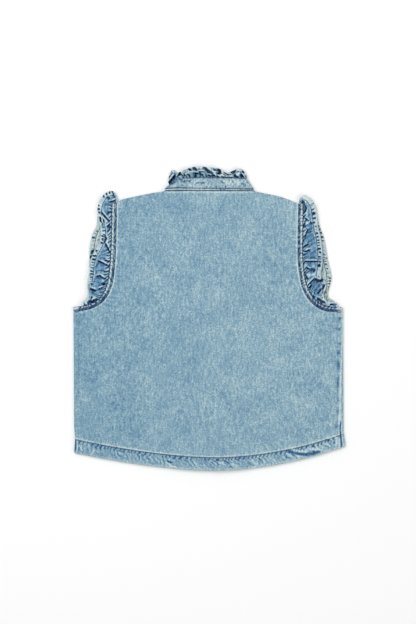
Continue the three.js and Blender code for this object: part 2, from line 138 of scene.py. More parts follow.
# along is the share of the armhole, reach the ruffle's width there, and lean turns it up
# towards the shoulder, in degrees
ARMHOLE_RUFFLES = {
    "back_left": table(
        "along reach lean",
        (-0.042, 6, 88), (-0.03, 11, 88), (0, 14.5, 84), (0.03, 17.6, 60), (0.06, 18.6, 40),
        (0.1, 18.2, 20), (0.15, 14.6, 0), (0.3, 13.5, 0), (0.36, 17.5, 0), (0.43, 22.5, 0),
        (0.57, 24, 0), (0.65, 23.4, 0), (0.75, 20.7, 0), (0.81, 18.4, 0),
        (0.86, 9, 0), (0.93, 4, 0),
    ),
    "back_right": table(
        "along reach lean",
        (-0.034, 6, 84), (-0.02, 8.5, 84), (0, 10, 80), (0.03, 13.8, 60), (0.06, 15.8, 40),
        (0.1, 16.4, 20), (0.15, 17.3, 0), (0.25, 20.8, 0), (0.35, 23, 0), (0.43, 23.2, 0),
        (0.5, 21.6, 0), (0.57, 19, 0), (0.65, 22, 0), (0.74, 19.8, 0), (0.8, 10, 0), (0.96, 5, 0),
    ),
    "front_left": table(
        "along reach lean",
        (0, 9.5, 80), (0.03, 14, 60), (0.06, 15.5, 40), (0.1, 17, 20), (0.15, 17.5, 0),
        (0.25, 23, 0), (0.35, 25.5, 0), (0.45, 25, 0), (0.6, 23.4, 0), (0.7, 21, 0),
        (0.8, 17, 0), (0.86, 8.5, 0), (0.92, 3, 0),
    ),
    "front_right": table(
        "along reach lean",
        (0, 6.5, 80), (0.03, 10.5, 60), (0.06, 12.5, 40), (0.1, 15.4, 20), (0.15, 19.2, 0),
        (0.25, 24.8, 0), (0.35, 28, 0), (0.45, 29.8, 0), (0.55, 31.6, 0), (0.65, 30.2, 0),
        (0.75, 26, 0), (0.8, 21, 0), (0.86, 12.5, 0), (0.94, 7, 0),
    ),
}
BACK_STAND = table(
    "x top",
    (-53, 156), (-48.4, 160), (-40, 165.8), (-30, 168), (-12, 169.6), (20, 168.8), (45, 168.2),
    (53.5, 155.5),
)
STAND_FOOT = 153.6
STAND_ENDS = {"back": (-53, 53.5), "front_left": (-52, LAP_HALF), "front_right": (-LAP_HALF, 52)}
STAND_LINE = table("x up", (-52, 2.4), (-37, 3), (-21, 2.5), (20, 2.2), (39, 1.8), (52, 1.6))
# x is where a rib of the ruffle leaves the stand; a positive lean turns it to -X
COLLAR_RUFFLES = {
    "back": table(
        "x reach lean",
        (-38, 7, 15), (-30, 9.5, 8), (-22, 12, 0), (-14, 12.8, 0), (-2, 12, 0), (11, 11, 0),
        (22, 5.8, 0), (30, 9, 0), (35, 11, 0), (41, 9.2, 0), (45, 3, 0),
    ),
    "front_left": table(
        "x reach lean",
        (-48, 4, 20), (-46, 9, 10), (-43, 13.5, 2), (-38, 13.5, 0), (-30, 12, -10), (-15, 11, 0),
        (-3, 11, 0),
    ),
    "front_right": table(
        "x reach lean", (3, 11, 0), (15, 11, 0), (30, 10, 10), (39, 8, 10), (43, 3, 10)
    ),
}
SIDE_OUTLINE = {
    "left": table("y x", (-161.4, -161.8), (-145, -160.9), (-130, -162), (10, -162.8)),
    "right": table("y x", (-153, 163.2), (-141, 161.6), (-128, 161.4), (10, 160.6)),
}

# Creases listed one by one: the depth of each (a ridge's is negative), its half width, and then
# the x and y of each point that it runs through
# Their troughs darken the tone as painted shade and kept indigo, and their ridges lighten it as
# worn cloth and a painted highlight.
BACK_CREASES = [
    (1.5, 1.7, 93, -157.8, 103.2, -162, 113.6, -163.1, 124.2, -162.4, 134.4, -159.7),
    (0.9, 1.3, 117, -158.4, 126, -159.4, 134.4, -159.5),
    (-0.8, 1.0, 95.6, -159.7, 106.2, -164.5, 116.4, -165.4),
    (-0.6, 1.0, 114, -154.4, 124.8, -157.2, 139.2, -157.6),
    (-1.1, 0.8, 126.5, -151.1, 131.8, -157.1), (-1.1, 0.8, 140.8, -148.8, 145.9, -154.1),
    (-1.0, 0.8, 145.4, -143, 150.5, -148.1), (0.8, 1.0, 122.4, -152.2, 129.6, -153.4),
    (0.9, 1.0, 139.2, -144.6, 144.6, -146.9), (0.7, 1.1, 149.4, -142.2, 150.4, -151),
    (-0.8, 1.7, 151.8, -140, 152.9, -146.4, 152.4, -153.6),
    (-0.9, 0.7, -156.6, -150.6, -151.2, -159.6), (-1.0, 0.7, -136.8, -156.6, -141.6, -163.8),
    (-1.0, 0.8, -53, -171, -45.6, -176.4, -38, -178.4), (1.0, 0.8, -51.6, -170.3, -44, -172.9),
    (-0.9, 0.7, -17.3, -172.6, -11.2, -179.4), (-0.9, 0.7, -8, -173.4, -0.4, -181),
    (-0.9, 0.7, 13.2, -171, 21.6, -176.4), (-0.9, 0.7, 26.4, -173.4, 36, -178),
    (0.9, 0.8, 15.6, -169.6, 25.2, -173.4), (0.8, 0.7, 24.8, -176.4, 29.4, -179.4),
    (-0.9, 0.8, 49.2, -169.1, 60.5, -176.5), (0.9, 0.8, 58.8, -166.8, 62.8, -171.4),
    (-0.7, 0.7, 72, -166.4, 82, -172.4),
]
# Low folds across the body, too soft to change the indigo; only faint painted shade in their
# hollows
SOFT_FOLDS = [
    (0.45, 9, -96, 104, -70, 60, -58, 8), (0.4, 8, 92, 118, 76, 70, 74, 20),
    (0.45, 10, -128, -20, -112, -70, -116, -120), (-0.45, 9, 128, 0, 118, -60, 124, -112),
    (-0.35, 12, -20, 120, -8, 70, -14, 10), (0.3, 11, -40, -60, -10, -96, 30, -112),
    (0.3, 9, 30, 40, 44, -10, 40, -70),
]
RUFFLE_CREASES = {
    "back_left": [
        (2.0, 0.8, -129.6, 128.4, -124.8, 122.6, -119, 116),
        (-1.3, 0.8, -133.4, 126, -127.4, 121.4, -121.6, 116),
        (2.4, 1.0, -130.8, 122, -130, 118.6, -129.8, 115.4),
        (2.0, 0.9, -126.6, 119.6, -125.8, 114.6), (1.0, 0.6, -129, 113.4, -126, 110.4),
        (0.8, 1.6, -123.6, 146.4, -118.6, 143), (1.5, 0.9, -122.6, 109.4, -118.4, 113.6),
        (1.2, 0.8, -122, 104, -118.2, 107.4), (1.1, 0.8, -124.9, 91.3, -121.5, 85, -118.6, 78.4),
        (-0.7, 0.8, -122.4, 91.8, -119, 84.6), (1.4, 1.0, -125.9, 101.3, -123, 96, -126, 90),
        (2.2, 0.9, -127.4, 149.4, -125.4, 145), (2.2, 0.9, -123.6, 151.6, -122, 147.6),
        (2.2, 0.9, -119.6, 153, -118.8, 149.4), (1.8, 1.0, -115.8, 153.4, -116.2, 150.6),
        (2.0, 0.9, -135.4, 136.6, -131, 135), (2.2, 1.0, -135.2, 132, -130.6, 130.8),
        (1.6, 0.8, -133, 127.8, -130, 127), (1.6, 0.9, -133.6, 69.2, -127.3, 66.8, -120.6, 63),
        (-1.2, 0.9, -128.6, 69.2, -122, 65.2), (1.2, 0.9, -125, 69.8, -118.6, 68.6),
        (-0.9, 0.8, -122.8, 71, -119.3, 70),
        (1.2, 0.8, -136, 50, -130.6, 51.6, -126, 48.4, -122.4, 46.6),
        (-1.1, 0.9, -129.4, 52, -124.4, 48.6), (1.3, 1.5, -128.8, 40.7, -124.4, 42.4),
        (1.2, 0.8, -133.2, 34.7, -126.4, 38), (-1.0, 0.7, -131.9, 36.8, -126.4, 39.4),
        (1.5, 1.1, -143.3, 36, -135.6, 33), (1.2, 0.9, -139.8, 26.3, -142.4, 21.7),
        (1.9, 1.4, -146, 20.2, -139.8, 20.5, -133.6, 22.9), (0.6, 2.2, -103.4, 150.4, -116, 144.6),
        (1.2, 0.8, -120.6, 139.4, -115, 140.6, -110.6, 142.8),
        (1.6, 0.8, -129.4, 99.6, -126.4, 98.8), (1.5, 0.8, -129.2, 95.6, -126, 95),
        (1.5, 0.8, -130.4, 91.6, -126.8, 90.6), (1.8, 0.9, -137.6, 82.2, -133.4, 80.8),
        (2.0, 0.9, -140, 75.6, -136, 74.6), (1.8, 0.8, -140.4, 71.2, -136.2, 70.6),
        (1.2, 0.8, -142.6, 53.8, -139, 53.4), (1.1, 0.8, -142.8, 49.6, -139, 49.2),
        (1.2, 0.8, -142.4, 41.8, -139, 41.2),
    ],
    "back_right": [
        (-1.1, 1.5, 110.4, 147, 118, 143.4, 124.6, 135, 127.2, 127),
        (1.1, 0.8, 115, 137, 116.5, 132.4, 115.3, 128, 112, 125.2),
        (2.8, 1.4, 112.8, 141, 113.6, 137.4), (1.8, 0.8, 112.8, 110.8, 116.2, 114.1),
        (1.6, 0.8, 114.4, 99.6, 119, 106.4), (1.8, 0.7, 112.8, 97, 116.4, 100.5),
        (-1.5, 0.7, 113.4, 99.2, 117.2, 103.8), (1.4, 0.8, 113, 85.8, 119.4, 89.4),
        (0.5, 1.3, 121, 116.4, 123.6, 113), (0.4, 0.9, 121.4, 104.6, 122.8, 103.4),
        (-0.9, 0.9, 114.4, 111.2, 122, 117.6), (1.2, 0.8, 123.2, 136.8, 125.6, 138.6),
        (1.0, 0.8, 124.2, 131, 127, 131.8), (2.4, 1.1, 124, 126, 128, 126.4),
        (1.8, 0.9, 124.6, 120, 128.2, 120.8), (2.2, 1.0, 124.4, 114.8, 127, 115.4),
        (1.0, 0.8, 126.6, 110.4, 129, 111.2), (1.8, 0.8, 127.8, 102, 130.8, 102.8),
        (1.7, 0.8, 128.8, 97.6, 131.4, 98.2), (1.7, 0.8, 129.8, 93.6, 132.6, 94.2),
        (1.6, 0.7, 130.2, 90.6, 132.8, 91), (1.5, 0.7, 130.4, 87.6, 133.2, 88),
        (2.3, 1.0, 130.4, 83.4, 134.2, 84), (1.7, 0.8, 131.8, 79.4, 134.4, 79.8),
        (1.6, 0.8, 131.4, 73.8, 134.2, 74.4), (1.5, 0.8, 131.8, 67.8, 134.6, 67.8),
        (1.4, 0.8, 130.2, 63.6, 132.4, 64), (-0.8, 1.1, 116.5, 122.6, 118.7, 127.2),
        (0.8, 0.8, 114, 121.2, 120.4, 116.6), (1.2, 0.9, 113.8, 79.6, 121.7, 82.9),
        (-0.9, 0.8, 114.4, 81.6, 122.8, 84.8), (1.4, 0.7, 113, 68.5, 131.4, 68.5),
        (-0.4, 0.8, 114, 70.2, 130, 70.3), (1.4, 0.8, 116, 61.4, 121.6, 58.8),
        (0.5, 1.8, 121.6, 60.4, 127.6, 57), (-0.5, 1.4, 117.6, 52, 128.4, 52.8),
        (1.8, 0.8, 115.4, 52.6, 119.2, 46.8), (1.2, 0.7, 112.6, 57, 115.6, 54.4),
        (1.4, 0.7, 118, 39.1, 127.2, 48.8), (-1.1, 0.8, 117.2, 41.4, 123.8, 47.6),
        (2.1, 1.3, 126.6, 48, 130.8, 45.6, 135.4, 45.4, 136.6, 50.8),
        (1.8, 1.0, 139, 41, 136, 34.4), (0.8, 1.1, 134.6, 36, 130, 29),
        (1.4, 0.9, 119.4, 36.4, 123.4, 40.2), (-1.0, 0.8, 123.4, 31.4, 127.2, 26.3),
        (1.9, 1.2, 129.6, 24.6, 134.4, 21.4, 140, 18.6),
    ],
    "front_left": [
        (1.8, 1.0, -141, 97.6, -136.4, 97), (2.4, 1.2, -138.6, 82.8, -141.4, 77.4),
        (2.2, 1.0, -140.6, 76, -143.2, 72), (0.5, 1.4, -139, 44, -144, 30),
    ],
    "front_right": [
        (1.5, 0.8, 130.6, 111.2, 133.2, 110.6), (1.5, 0.8, 132, 107.6, 134.6, 107),
        (1.8, 0.9, 133.2, 103.4, 136, 102.8), (1.8, 0.9, 134.2, 98.2, 137.6, 97.8),
        (1.1, 0.7, 135.4, 93.8, 138.2, 93.2), (1.0, 0.7, 139.4, 66, 142.2, 64.8),
        (1.0, 0.7, 140.6, 60.4, 143.4, 59.6), (1.5, 0.7, 143.4, 48.8, 146.8, 48.4),
        (1.6, 0.8, 143.6, 45.4, 147, 45), (1.5, 0.8, 143.2, 42, 146.8, 41.4),
        (1.2, 0.8, 142.6, 38.4, 146.2, 37.4), (0.9, 1.0, 140, 73, 146.4, 71),
        (-0.6, 1.3, 143.6, 52, 141.8, 34), (1.2, 1.2, 137.8, 37, 139.4, 30),
    ],
}
FRILL_CREASES = {
    "back": [
        (1.6, 1.1, -37, 176.6, -34.6, 174.6, -35.4, 170.6), (1.2, 0.8, -33.2, 174, -32, 170.8),
        (1.4, 0.9, -30.4, 173.4, -28.8, 171), (1.6, 1.0, -25.4, 180, -20.6, 177.8),
        (0.9, 0.8, -27, 173.2, -22.4, 171.6), (2.2, 1.1, -20, 181.6, -16.4, 180, -14.6, 177.2),
        (1.3, 0.8, -18.4, 174.4, -11.6, 173.8), (1.2, 0.8, -13, 176, -6.8, 175.4),
        (1.7, 1.0, -11, 173.6, -7.4, 172), (2.8, 1.2, -7, 181.8, -3.6, 179.6, 0, 176.2, 4.4, 174.4),
        (1.6, 0.9, -1.6, 172.4, 2.4, 170.4), (1.6, 0.9, 3.8, 172.6, 7.4, 170.6),
        (0.9, 0.8, 4.6, 179.6, 8.6, 178.2), (2.6, 1.2, 9.6, 179, 13, 178, 13.6, 174.4, 10.4, 173.2),
        (1.5, 0.8, 8.4, 171, 12, 169.9), (2.6, 0.9, 15.4, 169.9, 19.6, 168.9, 28.8, 168.7),
        (0.9, 0.7, 16.4, 176, 21.4, 173, 27, 171.6),
        (0.7, 0.6, 15.4, 173.4, 20.4, 171.2, 27, 170.2),
        (2.4, 1.2, 26, 175.4, 28.8, 176, 32, 179.4),
        (2.3, 1.3, 30.6, 172.6, 32.4, 169.6, 35.4, 169.2), (2.2, 1.1, 38, 173.6, 41, 169.6),
        (1.5, 0.8, 40, 177.4, 42.2, 174.2), (-0.9, 1.2, 18, 177.6, 24, 174.6),
        (-0.9, 0.9, -31.6, 179, -26, 180.4), (-1.1, 1.1, -13.6, 182, -7.4, 180.6),
        (-0.9, 0.9, 3, 176.8, 8.6, 175.4), (-0.7, 0.9, -28, 176, -17, 176.8),
        (-0.6, 0.8, -12, 178, -4.8, 178.4), (-1.0, 1.2, 33, 178.6, 39, 177.6),
        (-0.8, 1.1, 35.4, 175.4, 36.6, 172.6),
    ],
    "front_left": [
        (3.2, 1.2, -49.6, 161, -44.6, 167, -40.4, 172.6),
        (-1.4, 0.8, -50.4, 163.4, -46.2, 169, -42, 174.4),
        (0.9, 0.6, -50.8, 165.6, -47.4, 170.4, -43.6, 174.8),
        (-0.7, 1.0, -44.8, 177.2, -41.6, 176.2), (0.7, 0.7, -49.8, 170, -47.2, 174.6),
    ],
    "front_right": [],
}
# Puckers and dark nicks of the collar stand, darkened as painted shade and kept indigo
STAND_CREASES = [
    (0.7, 1.1, -45.6, 160.8, -40, 163.4, -36, 164.8),
    (0.7, 1.6, -36, 164.2, -27.6, 164.6, -20.8, 165.2), (0.7, 1.1, -17.4, 162.2, -3.6, 162.6),
    (0.4, 0.9, -33.6, 160.8, -30, 159), (0.7, 0.9, 26.4, 167, 30.6, 161.4),
    (0.7, 1.4, 38.4, 162.4, 44.4, 159), (0.7, 0.9, 44, 166.2, 47.8, 161.4),
    (0.7, 1.0, 13.6, 165.6, 18.6, 161.6), (-0.6, 1.2, -24, 161.8, -20, 157.8),
    (-0.7, 1.1, 21, 164, 25.4, 160.6), (-0.7, 1.0, 33, 165, 37, 161),
    (0.9, 0.9, -20.4, 159, -20.2, 157), (0.9, 0.8, -2.6, 159.2, -2.2, 157.2),
    (0.7, 0.8, 2.4, 159.2, 2.6, 157.4), (0.9, 0.9, 9, 158.8, 9.2, 157),
    (0.8, 0.7, 12, 159.2, 12.2, 157.2), (1.1, 0.9, 19.8, 159.4, 20, 157.2),
    (0.8, 0.8, 28.8, 158.8, 29, 156.8), (0.9, 0.7, 10.8, 154.6, 20.4, 154.4),
    (-0.4, 1.2, -46, 168, -38, 168.6),
]
# The end of the back's half of the stand shades the front's half beside it
STAND_SHADE = [(2.2, 2.4, -49.6, 160, -45, 166, -39.6, 171.6)]
SIDE_FOLDS = {
    "left": [(1.2, 1.3, -161.2, -145, -160.2, -152, -161, -160)],
    "right": [(1.9, 0.8, 157.6, -123, 157.4, -134, 158.6, -148, 159.6, -158)],
}

Skin = namedtuple("Skin", "points tone cut")  # millimetres, tone of worn indigo with painted shade and highlight, place in the cut


def smooth(low, high, value):
    """An even step from 0 at low to 1 at high."""
    share = np.clip((value - low) / (high - low), 0, 1)
    return share * share * (3 - 2 * share)


def hump(value, centre, half):
    return np.exp(-(((value - centre) / half) ** 2))


def through(rows, key, column, at):
    """A smooth curve through one column of a table."""
    keys, values = rows[key], rows[column]
    slopes = np.gradient(values, keys)
    i = np.clip(np.searchsorted(keys, at) - 1, 0, len(keys) - 2)
    span = keys[i + 1] - keys[i]
    s = np.clip((at - keys[i]) / span, 0, 1)
    steps = values[i + 1] - values[i]
    curve = s * slopes[i] * span + s * s * (3 * steps - span * (2 * slopes[i] + slopes[i + 1]))
    return values[i] + curve + s**3 * (span * (slopes[i] + slopes[i + 1]) - 2 * steps)


def dye_and_shading(tone):
    """Tone from -1 in the recesses, which keep most of the indigo and are painted darker as shade,
    to 1 on the ridges, where it is worn off and a painted highlight lies.
    """
    return np.tanh(np.where(tone < 0, 1.8 * tone, tone))


def wobble(x, y, size, seed):
    """Smooth unevenness of about -1 to 1, with swells of about this size."""
    draw = np.random.default_rng(seed)
    total = np.zeros(np.broadcast(x, y).shape)
    waves = 9
    for _ in range(waves):
        turn, shift = draw.uniform(0, math.tau, 2)
        length = size * draw.uniform(0.7, 1.9)
        total += np.sin(math.tau * (x * math.cos(turn) + y * math.sin(turn)) / length + shift)
    return total / math.sqrt(waves)


def bumps(turn):
    """Round bumps with gaps between them, one to a turn."""
    return np.maximum(0, np.cos(math.tau * turn))


def pleats(turn):
    """Round ridges with sharp valleys between them, about zero on average."""
    return np.abs(np.cos(math.pi * turn)) ** 0.8 - 0.65


def crease_height(x, y, creases):
    """Soft troughs and ridges along listed paths, with a low ridge beside each trough."""
    total = np.zeros(x.shape)
    for depth, half, *path in creases:
        spots = np.reshape(path, (-1, 2)).astype(float)
        lengths = np.hypot(*np.diff(spots, axis=0).T)
        nearest = np.full(x.shape, np.inf)
        share, side = np.zeros(x.shape), np.zeros(x.shape)
        before = 0
        for (x0, y0), (x1, y1), length in zip(spots[:-1], spots[1:], lengths):
            way = ((x1 - x0) / length, (y1 - y0) / length)
            along = np.clip((x - x0) * way[0] + (y - y0) * way[1], 0, length)
            gap = np.hypot(x - x0 - along * way[0], y - y0 - along * way[1])
            closer = gap < nearest
            nearest = np.where(closer, gap, nearest)
            share = np.where(closer, (before + along) / lengths.sum(), share)
            side = np.where(closer, (y - y0) * way[0] - (x - x0) * way[1], side)
            before += length
        fade = smooth(-0.05, 0.25, share) * (1 - smooth(0.75, 1.05, share))
        beside = 0.45 * max(depth, 0) * hump(np.sign(side) * nearest, 2 * half, half)
        total += fade * (beside - depth * hump(nearest, 0, half))
    return total


# The garment's main surfaces


def bottom_y(x):
    rise, half, power = (
        np.where(x < HEM_LOW[0], left, right)
        for left, right in zip(HEM_SIDES["left"], HEM_SIDES["right"])
    )
    return HEM_LOW[1] + rise * (np.abs(x - HEM_LOW[0]) / half) ** power


def hem_depth(x):
    return np.interp(x, (-160, 160), (16.2, 15))


def hem_share(x, y):
    return (y - bottom_y(x)) / hem_depth(x)


def shoulder_y(x):
    return lookup(SHOULDER, x)


def front_neck_y(x):
    rise = shoulder_y(NECK_HALF) - FRONT_NECK_Y
    return FRONT_NECK_Y + rise * smooth(0, NECK_HALF, np.abs(x))


def back_under(x, y):
    crown = CROWN_RISE * (1 - smooth(14, 62, np.abs(x))) * (1 - smooth(150, 175, y))
    near_edge = 1 - smooth(0, 12, shoulder_y(x) - y)
    return BACK_LEVEL + crown - SHOULDER_DROP * smooth(52, 62, np.abs(x)) * near_edge


def back_thick(x, y):
    return lookup(BACK_HEM, hem_share(x, y))


def front_thick(x, y):
    return lookup(FRONT_HEM, hem_share(x, y))


def front_under(side, x, y):
    """The lap's outer layer clears the buttons, and its inner layer clears the outer one."""
    rise = BUTTON_SPACE * smooth(2, 22, y - bottom_y(x) - hem_depth(x))
    if side == "right":
        return rise * (1 - smooth(*LAP_SLOPE, x))
    return (rise + front_thick(x, y) + SEAM_GAP) * (1 - smooth(*LAP_SLOPE, -x))


class Armhole:
    """The stitch line round an armhole, from the shoulder tip to the side seam."""

    def __init__(self, side):
        self.sign = SIGN[side]
        ends = ARMHOLE_POINTS[side]
        knots = np.array([ends[0], *ends, ends[-1]], float)
        s = np.linspace(0, 1, 40, endpoint=False)[:, None]
        spans = []
        for p0, p1, p2, p3 in zip(knots, knots[1:], knots[2:], knots[3:]):
            bend = 2 * p0 - 5 * p1 + 4 * p2 - p3
            twist = 3 * p1 - p0 - 3 * p2 + p3
            spans.append(p1 + 0.5 * (s * (p2 - p0) + s**2 * bend + s**3 * twist))
        self.line = np.vstack([*spans, knots[-1]])
        steps = np.hypot(*np.diff(self.line, axis=0).T)
        self.run = np.concatenate([[0], np.cumsum(steps)])
        self.length = self.run[-1]
        way = np.gradient(self.line, self.run, axis=0)
        self.way = way / np.hypot(*way.T)[:, None]

    def at(self, along, out):
        """The point at a share of the line, moved out square to it, and the line's way there."""
        run = np.clip(along, 0, 1) * self.length
        x, y = (np.interp(run, self.run, column) for column in self.line.T)
        wx, wy = (np.interp(run, self.run, column) for column in self.way.T)
        return x - self.sign * wy * out, y + self.sign * wx * out, wx, wy

    def nearest(self, x, y):
        """How far along the line, in millimetres, and how far out of it points lie."""
        along, out = np.zeros(x.size), np.full(x.size, -np.inf)
        px, py = x.ravel(), y.ravel()
        for k in range(len(self.run) - 1):
            dx, dy = px - self.line[k, 0], py - self.line[k, 1]
            gap = np.hypot(dx, dy)
            closer = gap < np.abs(out)
            turned = self.sign * (dy * self.way[k, 0] - dx * self.way[k, 1])
            out = np.where(closer, np.where(turned < 0, -gap, gap), out)
            along = np.where(closer, self.run[k], along)
        return along.reshape(x.shape), out.reshape(x.shape)


ARMHOLES = {side: Armhole(side) for side in SIGN}


# Back panel


def hem_relief(x, y):
    """The turned-up hem: a stitched channel, a ridge above it and roping below it."""
    below = bottom_y(x) + hem_depth(x) - y
    uneven = wobble(x, 0 * x, 26, 3)
    ridge = 0.7 * hump(below, -1.6, 0.8) * (1 + 0.35 * wobble(x, 0 * x, 18, 6))
    dash = (x + 0.5 * below + 2.4 * uneven) / HEM_DASH
    dashes = bumps(dash) ** 2 * hump(below, 2.0, 1.7)
    slant = np.interp(x, (-160, -70, 0, 160), (0.15, 0.5, 1.25, 1.1))
    rope = (x - slant * below + 2.2 * wobble(x, y, 22, 4) + 0.9 * wobble(x, y, 8, 9)) / HEM_ROPE
    roping = pleats(rope) * smooth(1, 4, below) * (1 - smooth(8, 14.5, below))
    strength = np.interp(x, (-160, -60, 60, 143, 151), (0.5, 0.7, 0.8, 0.85, 0.3))
    strength = strength + 0.45 * wobble(x, y, 15, 5)
    strength = np.maximum(0.08, strength)
    rim = 0.35 * hump(below, hem_depth(x) - 1.2, 1.1)
    folds = strength * (0.8 * roping - dashes) - 0.35 * dashes + rim
    return smooth(-8, -4, below) * (ridge - 0.5 * hump(below, 0.1, 0.55) + folds)


def armhole_relief(side, x, y):
    """The panel's edge ridge along the armhole, and the small puckers that run in from it."""
    along, out = ARMHOLES[side].nearest(x, y)
    fade = 1 - 0.6 * smooth(0.68, 0.82, along / ARMHOLES[side].length)
    wave = np.sin(math.tau * along / RIDGE_WAVE)
    ridge = 0.85 * hump(out, -3.2, 0.85) * (1 + 0.3 * wave) * fade
    spread = np.exp(-np.clip(-out - 3, 0, 60) / 4.5)
    uneven = wobble(along, out, 19, 11)
    puckers = np.sin(math.tau * (along + 1.4 * uneven) / ARMHOLE_PUCKER)
    puckers = 0.2 * puckers * spread * (0.8 + 0.5 * uneven)
    return ridge + puckers * smooth(5, 8, -out + 4)


def paler_to_right(x):
    """The body's tone grows a little paler towards its right side."""
    return 0.03 + 0.08 * x / 160


def side_relief(x, y):
    """Dents beside a ridge over the right side seam, which drifts inwards towards the hem."""
    drift = np.interp(y, (-133, -75, -20, 0), (-3.8, -2.4, 0, 0))
    uneven = wobble(y, 0 * y, 22, 31)
    ridge = 0.65 * hump(x, 160.2 + drift, 1.0) * (1 + 0.35 * uneven)
    turn = (y + 4 * uneven) / SIDE_DENT + 3 * smooth(-70, -130, y)
    dents = bumps(turn) * hump(x, 156.8 + drift + 0.6 * uneven, 2.1)
    return ridge - 0.5 * dents * smooth(-139, -132, y)


def back_surface(x, y):
    relief = hem_relief(x, y) + side_relief(x, y)
    relief += armhole_relief("left", x, y) + armhole_relief("right", x, y)
    neck = BACK_NECK_Y - y
    relief += (0.5 * hump(neck, 1.6, 1.2) - 0.4 * hump(neck, 0, 0.7)) * (np.abs(x) < NECK_HALF)
    relief += crease_height(x, y, BACK_CREASES)
    swell = 0.16 * wobble(x, 0.35 * y, 17, 7) + 0.3 * wobble(x, 0.6 * y, 60, 8)
    swell += crease_height(x, y, SOFT_FOLDS)
    edge = smooth(0.05, 0, hem_share(x, y))
    edge += 0.4 * smooth(3.2, 2.2, -ARMHOLES["left"].nearest(x, y)[1])
    height = back_under(x, y) + back_thick(x, y) + relief + swell
    # The tone paints the relief's recesses darker, as shade and kept indigo, and its ridges paler,
    # as worn cloth with a painted highlight; the soft swells add a faint painted shade, and the
    # rubbed edges are worn paler.
    return height, dye_and_shading(1.3 * relief + 0.3 * edge + 0.04 * swell + paler_to_right(x))


def panel_lines(top_y, fine):
    """The heights across a panel, from its hem up, as functions of x."""
    steps = lambda low, high, count: np.linspace(low, high, int(count * fine))[1:]
    hem = (0, 0.03, 0.07, *np.arange(0.11, 0.8, 0.045 / fine), *np.arange(0.8, 1.2, 0.035 / fine))
    bend_y = 30  # where the armhole turns from its side to its foot
    hem_line = lambda up: lambda x: bottom_y(x) + up * hem_depth(x)
    level = lambda y: lambda x: y + 0 * x
    between = lambda low, high: lambda s: lambda x: (1 - s) * low(x) + s * high(x)
    lines = [hem_line(up) for up in hem]
    lines += map(between(lines[-1], level(ARMPIT_Y)), steps(0, 1, 66))
    lines += map(level, (*steps(ARMPIT_Y, bend_y, 30), *steps(bend_y, YOKE_Y, 38)))
    lines += map(between(level(YOKE_Y), top_y), 1 - (1 - steps(0, 1, 28)) ** 1.25)
    return lines


def armhole_x(side, y):
    """Where a line across a panel meets the armhole's edge or the side seam."""
    sign = SIGN[side]
    x, height, _, _ = ARMHOLES[side].at(np.linspace(0, 1, 400), PANEL_EDGE)
    order = np.argsort(height)
    edge = SIDE_EDGE[side]
    at = np.array(float(edge))
    for _ in range(14):
        found = np.interp(y(at), height[order], x[order])
        at = max(found, edge) if sign < 0 else min(found, edge)
    return at


def panel_grid(lines, ends, columns):
    """Points in rows along the lines, closer together near the two ends."""
    share = np.linspace(0, 1, columns)
    share = share - 0.28 * np.sin(math.tau * share) / math.tau
    xs, ys = [], []
    for line in lines:
        left, right = ends(line)
        x = left + (right - left) * share
        xs.append(x)
        ys.append(line(x))
    return np.array(xs), np.array(ys)


def skin(x, y, z, tone, cut=None):
    cut = np.stack([x, y], -1) if cut is None else cut
    return Skin(np.stack([x, y, z], -1), np.broadcast_to(tone, x.shape), cut)


def every(points, step):
    """Every so many rows and columns of an array, with its last row and column."""
    rows = sorted({*range(0, points.shape[0], step), points.shape[0] - 1})
    columns = sorted({*range(0, points.shape[1], step), points.shape[1] - 1})
    return points[np.ix_(rows, columns)]


def back_panel():
    top_y = lambda x: np.where(np.abs(x) < NECK_HALF, BACK_NECK_Y, shoulder_y(x))
    lines = panel_lines(top_y, 1)
    x, y = panel_grid(lines, lambda line: (armhole_x("left", line), armhole_x("right", line)), 440)
    z, tone = back_surface(x, y)
    top = skin(x, y, z, tone)
    x, y = every(x, 4), every(y, 4)
    under = np.minimum(back_under(x, y), every(z, 4) - 0.5)
    return top, skin(x, y, under, 0)


def front_panel(side):
    top_y = lambda x: np.where(np.abs(x) < NECK_HALF, front_neck_y(x), shoulder_y(x)) - 0.8
    lines = panel_lines(top_y, 0.5)
    if side == "left":
        ends = lambda line: (armhole_x(side, line), LAP_HALF)
    else:
        ends = lambda line: (-LAP_HALF, armhole_x(side, line))
    x, y = panel_grid(lines, ends, 130)
    below = bottom_y(x) + hem_depth(x) - y
    puckers = 0.3 * pleats((x - 0.8 * below) / UNDER_ROPE)
    puckers = puckers * smooth(1, 4, below) * (1 - smooth(10, 15, below))
    dents = 0.25 * hump(below, 0, 0.9) + np.maximum(0, puckers)
    swell = 0.12 * (1 + wobble(x, 0.4 * y, 30, 21))
    under = front_under(side, x, y) + dents
    top = front_under(side, x, y) + front_thick(x, y) + swell * smooth(30, 60, np.abs(x))
    # The underside's dents are painted darker, as shade and kept indigo.
    return skin(x, y, top, 0.1), skin(x, y, under, dye_and_shading(0.05 * wobble(x, y, 40, 22) - 2 * dents))


# Side seams


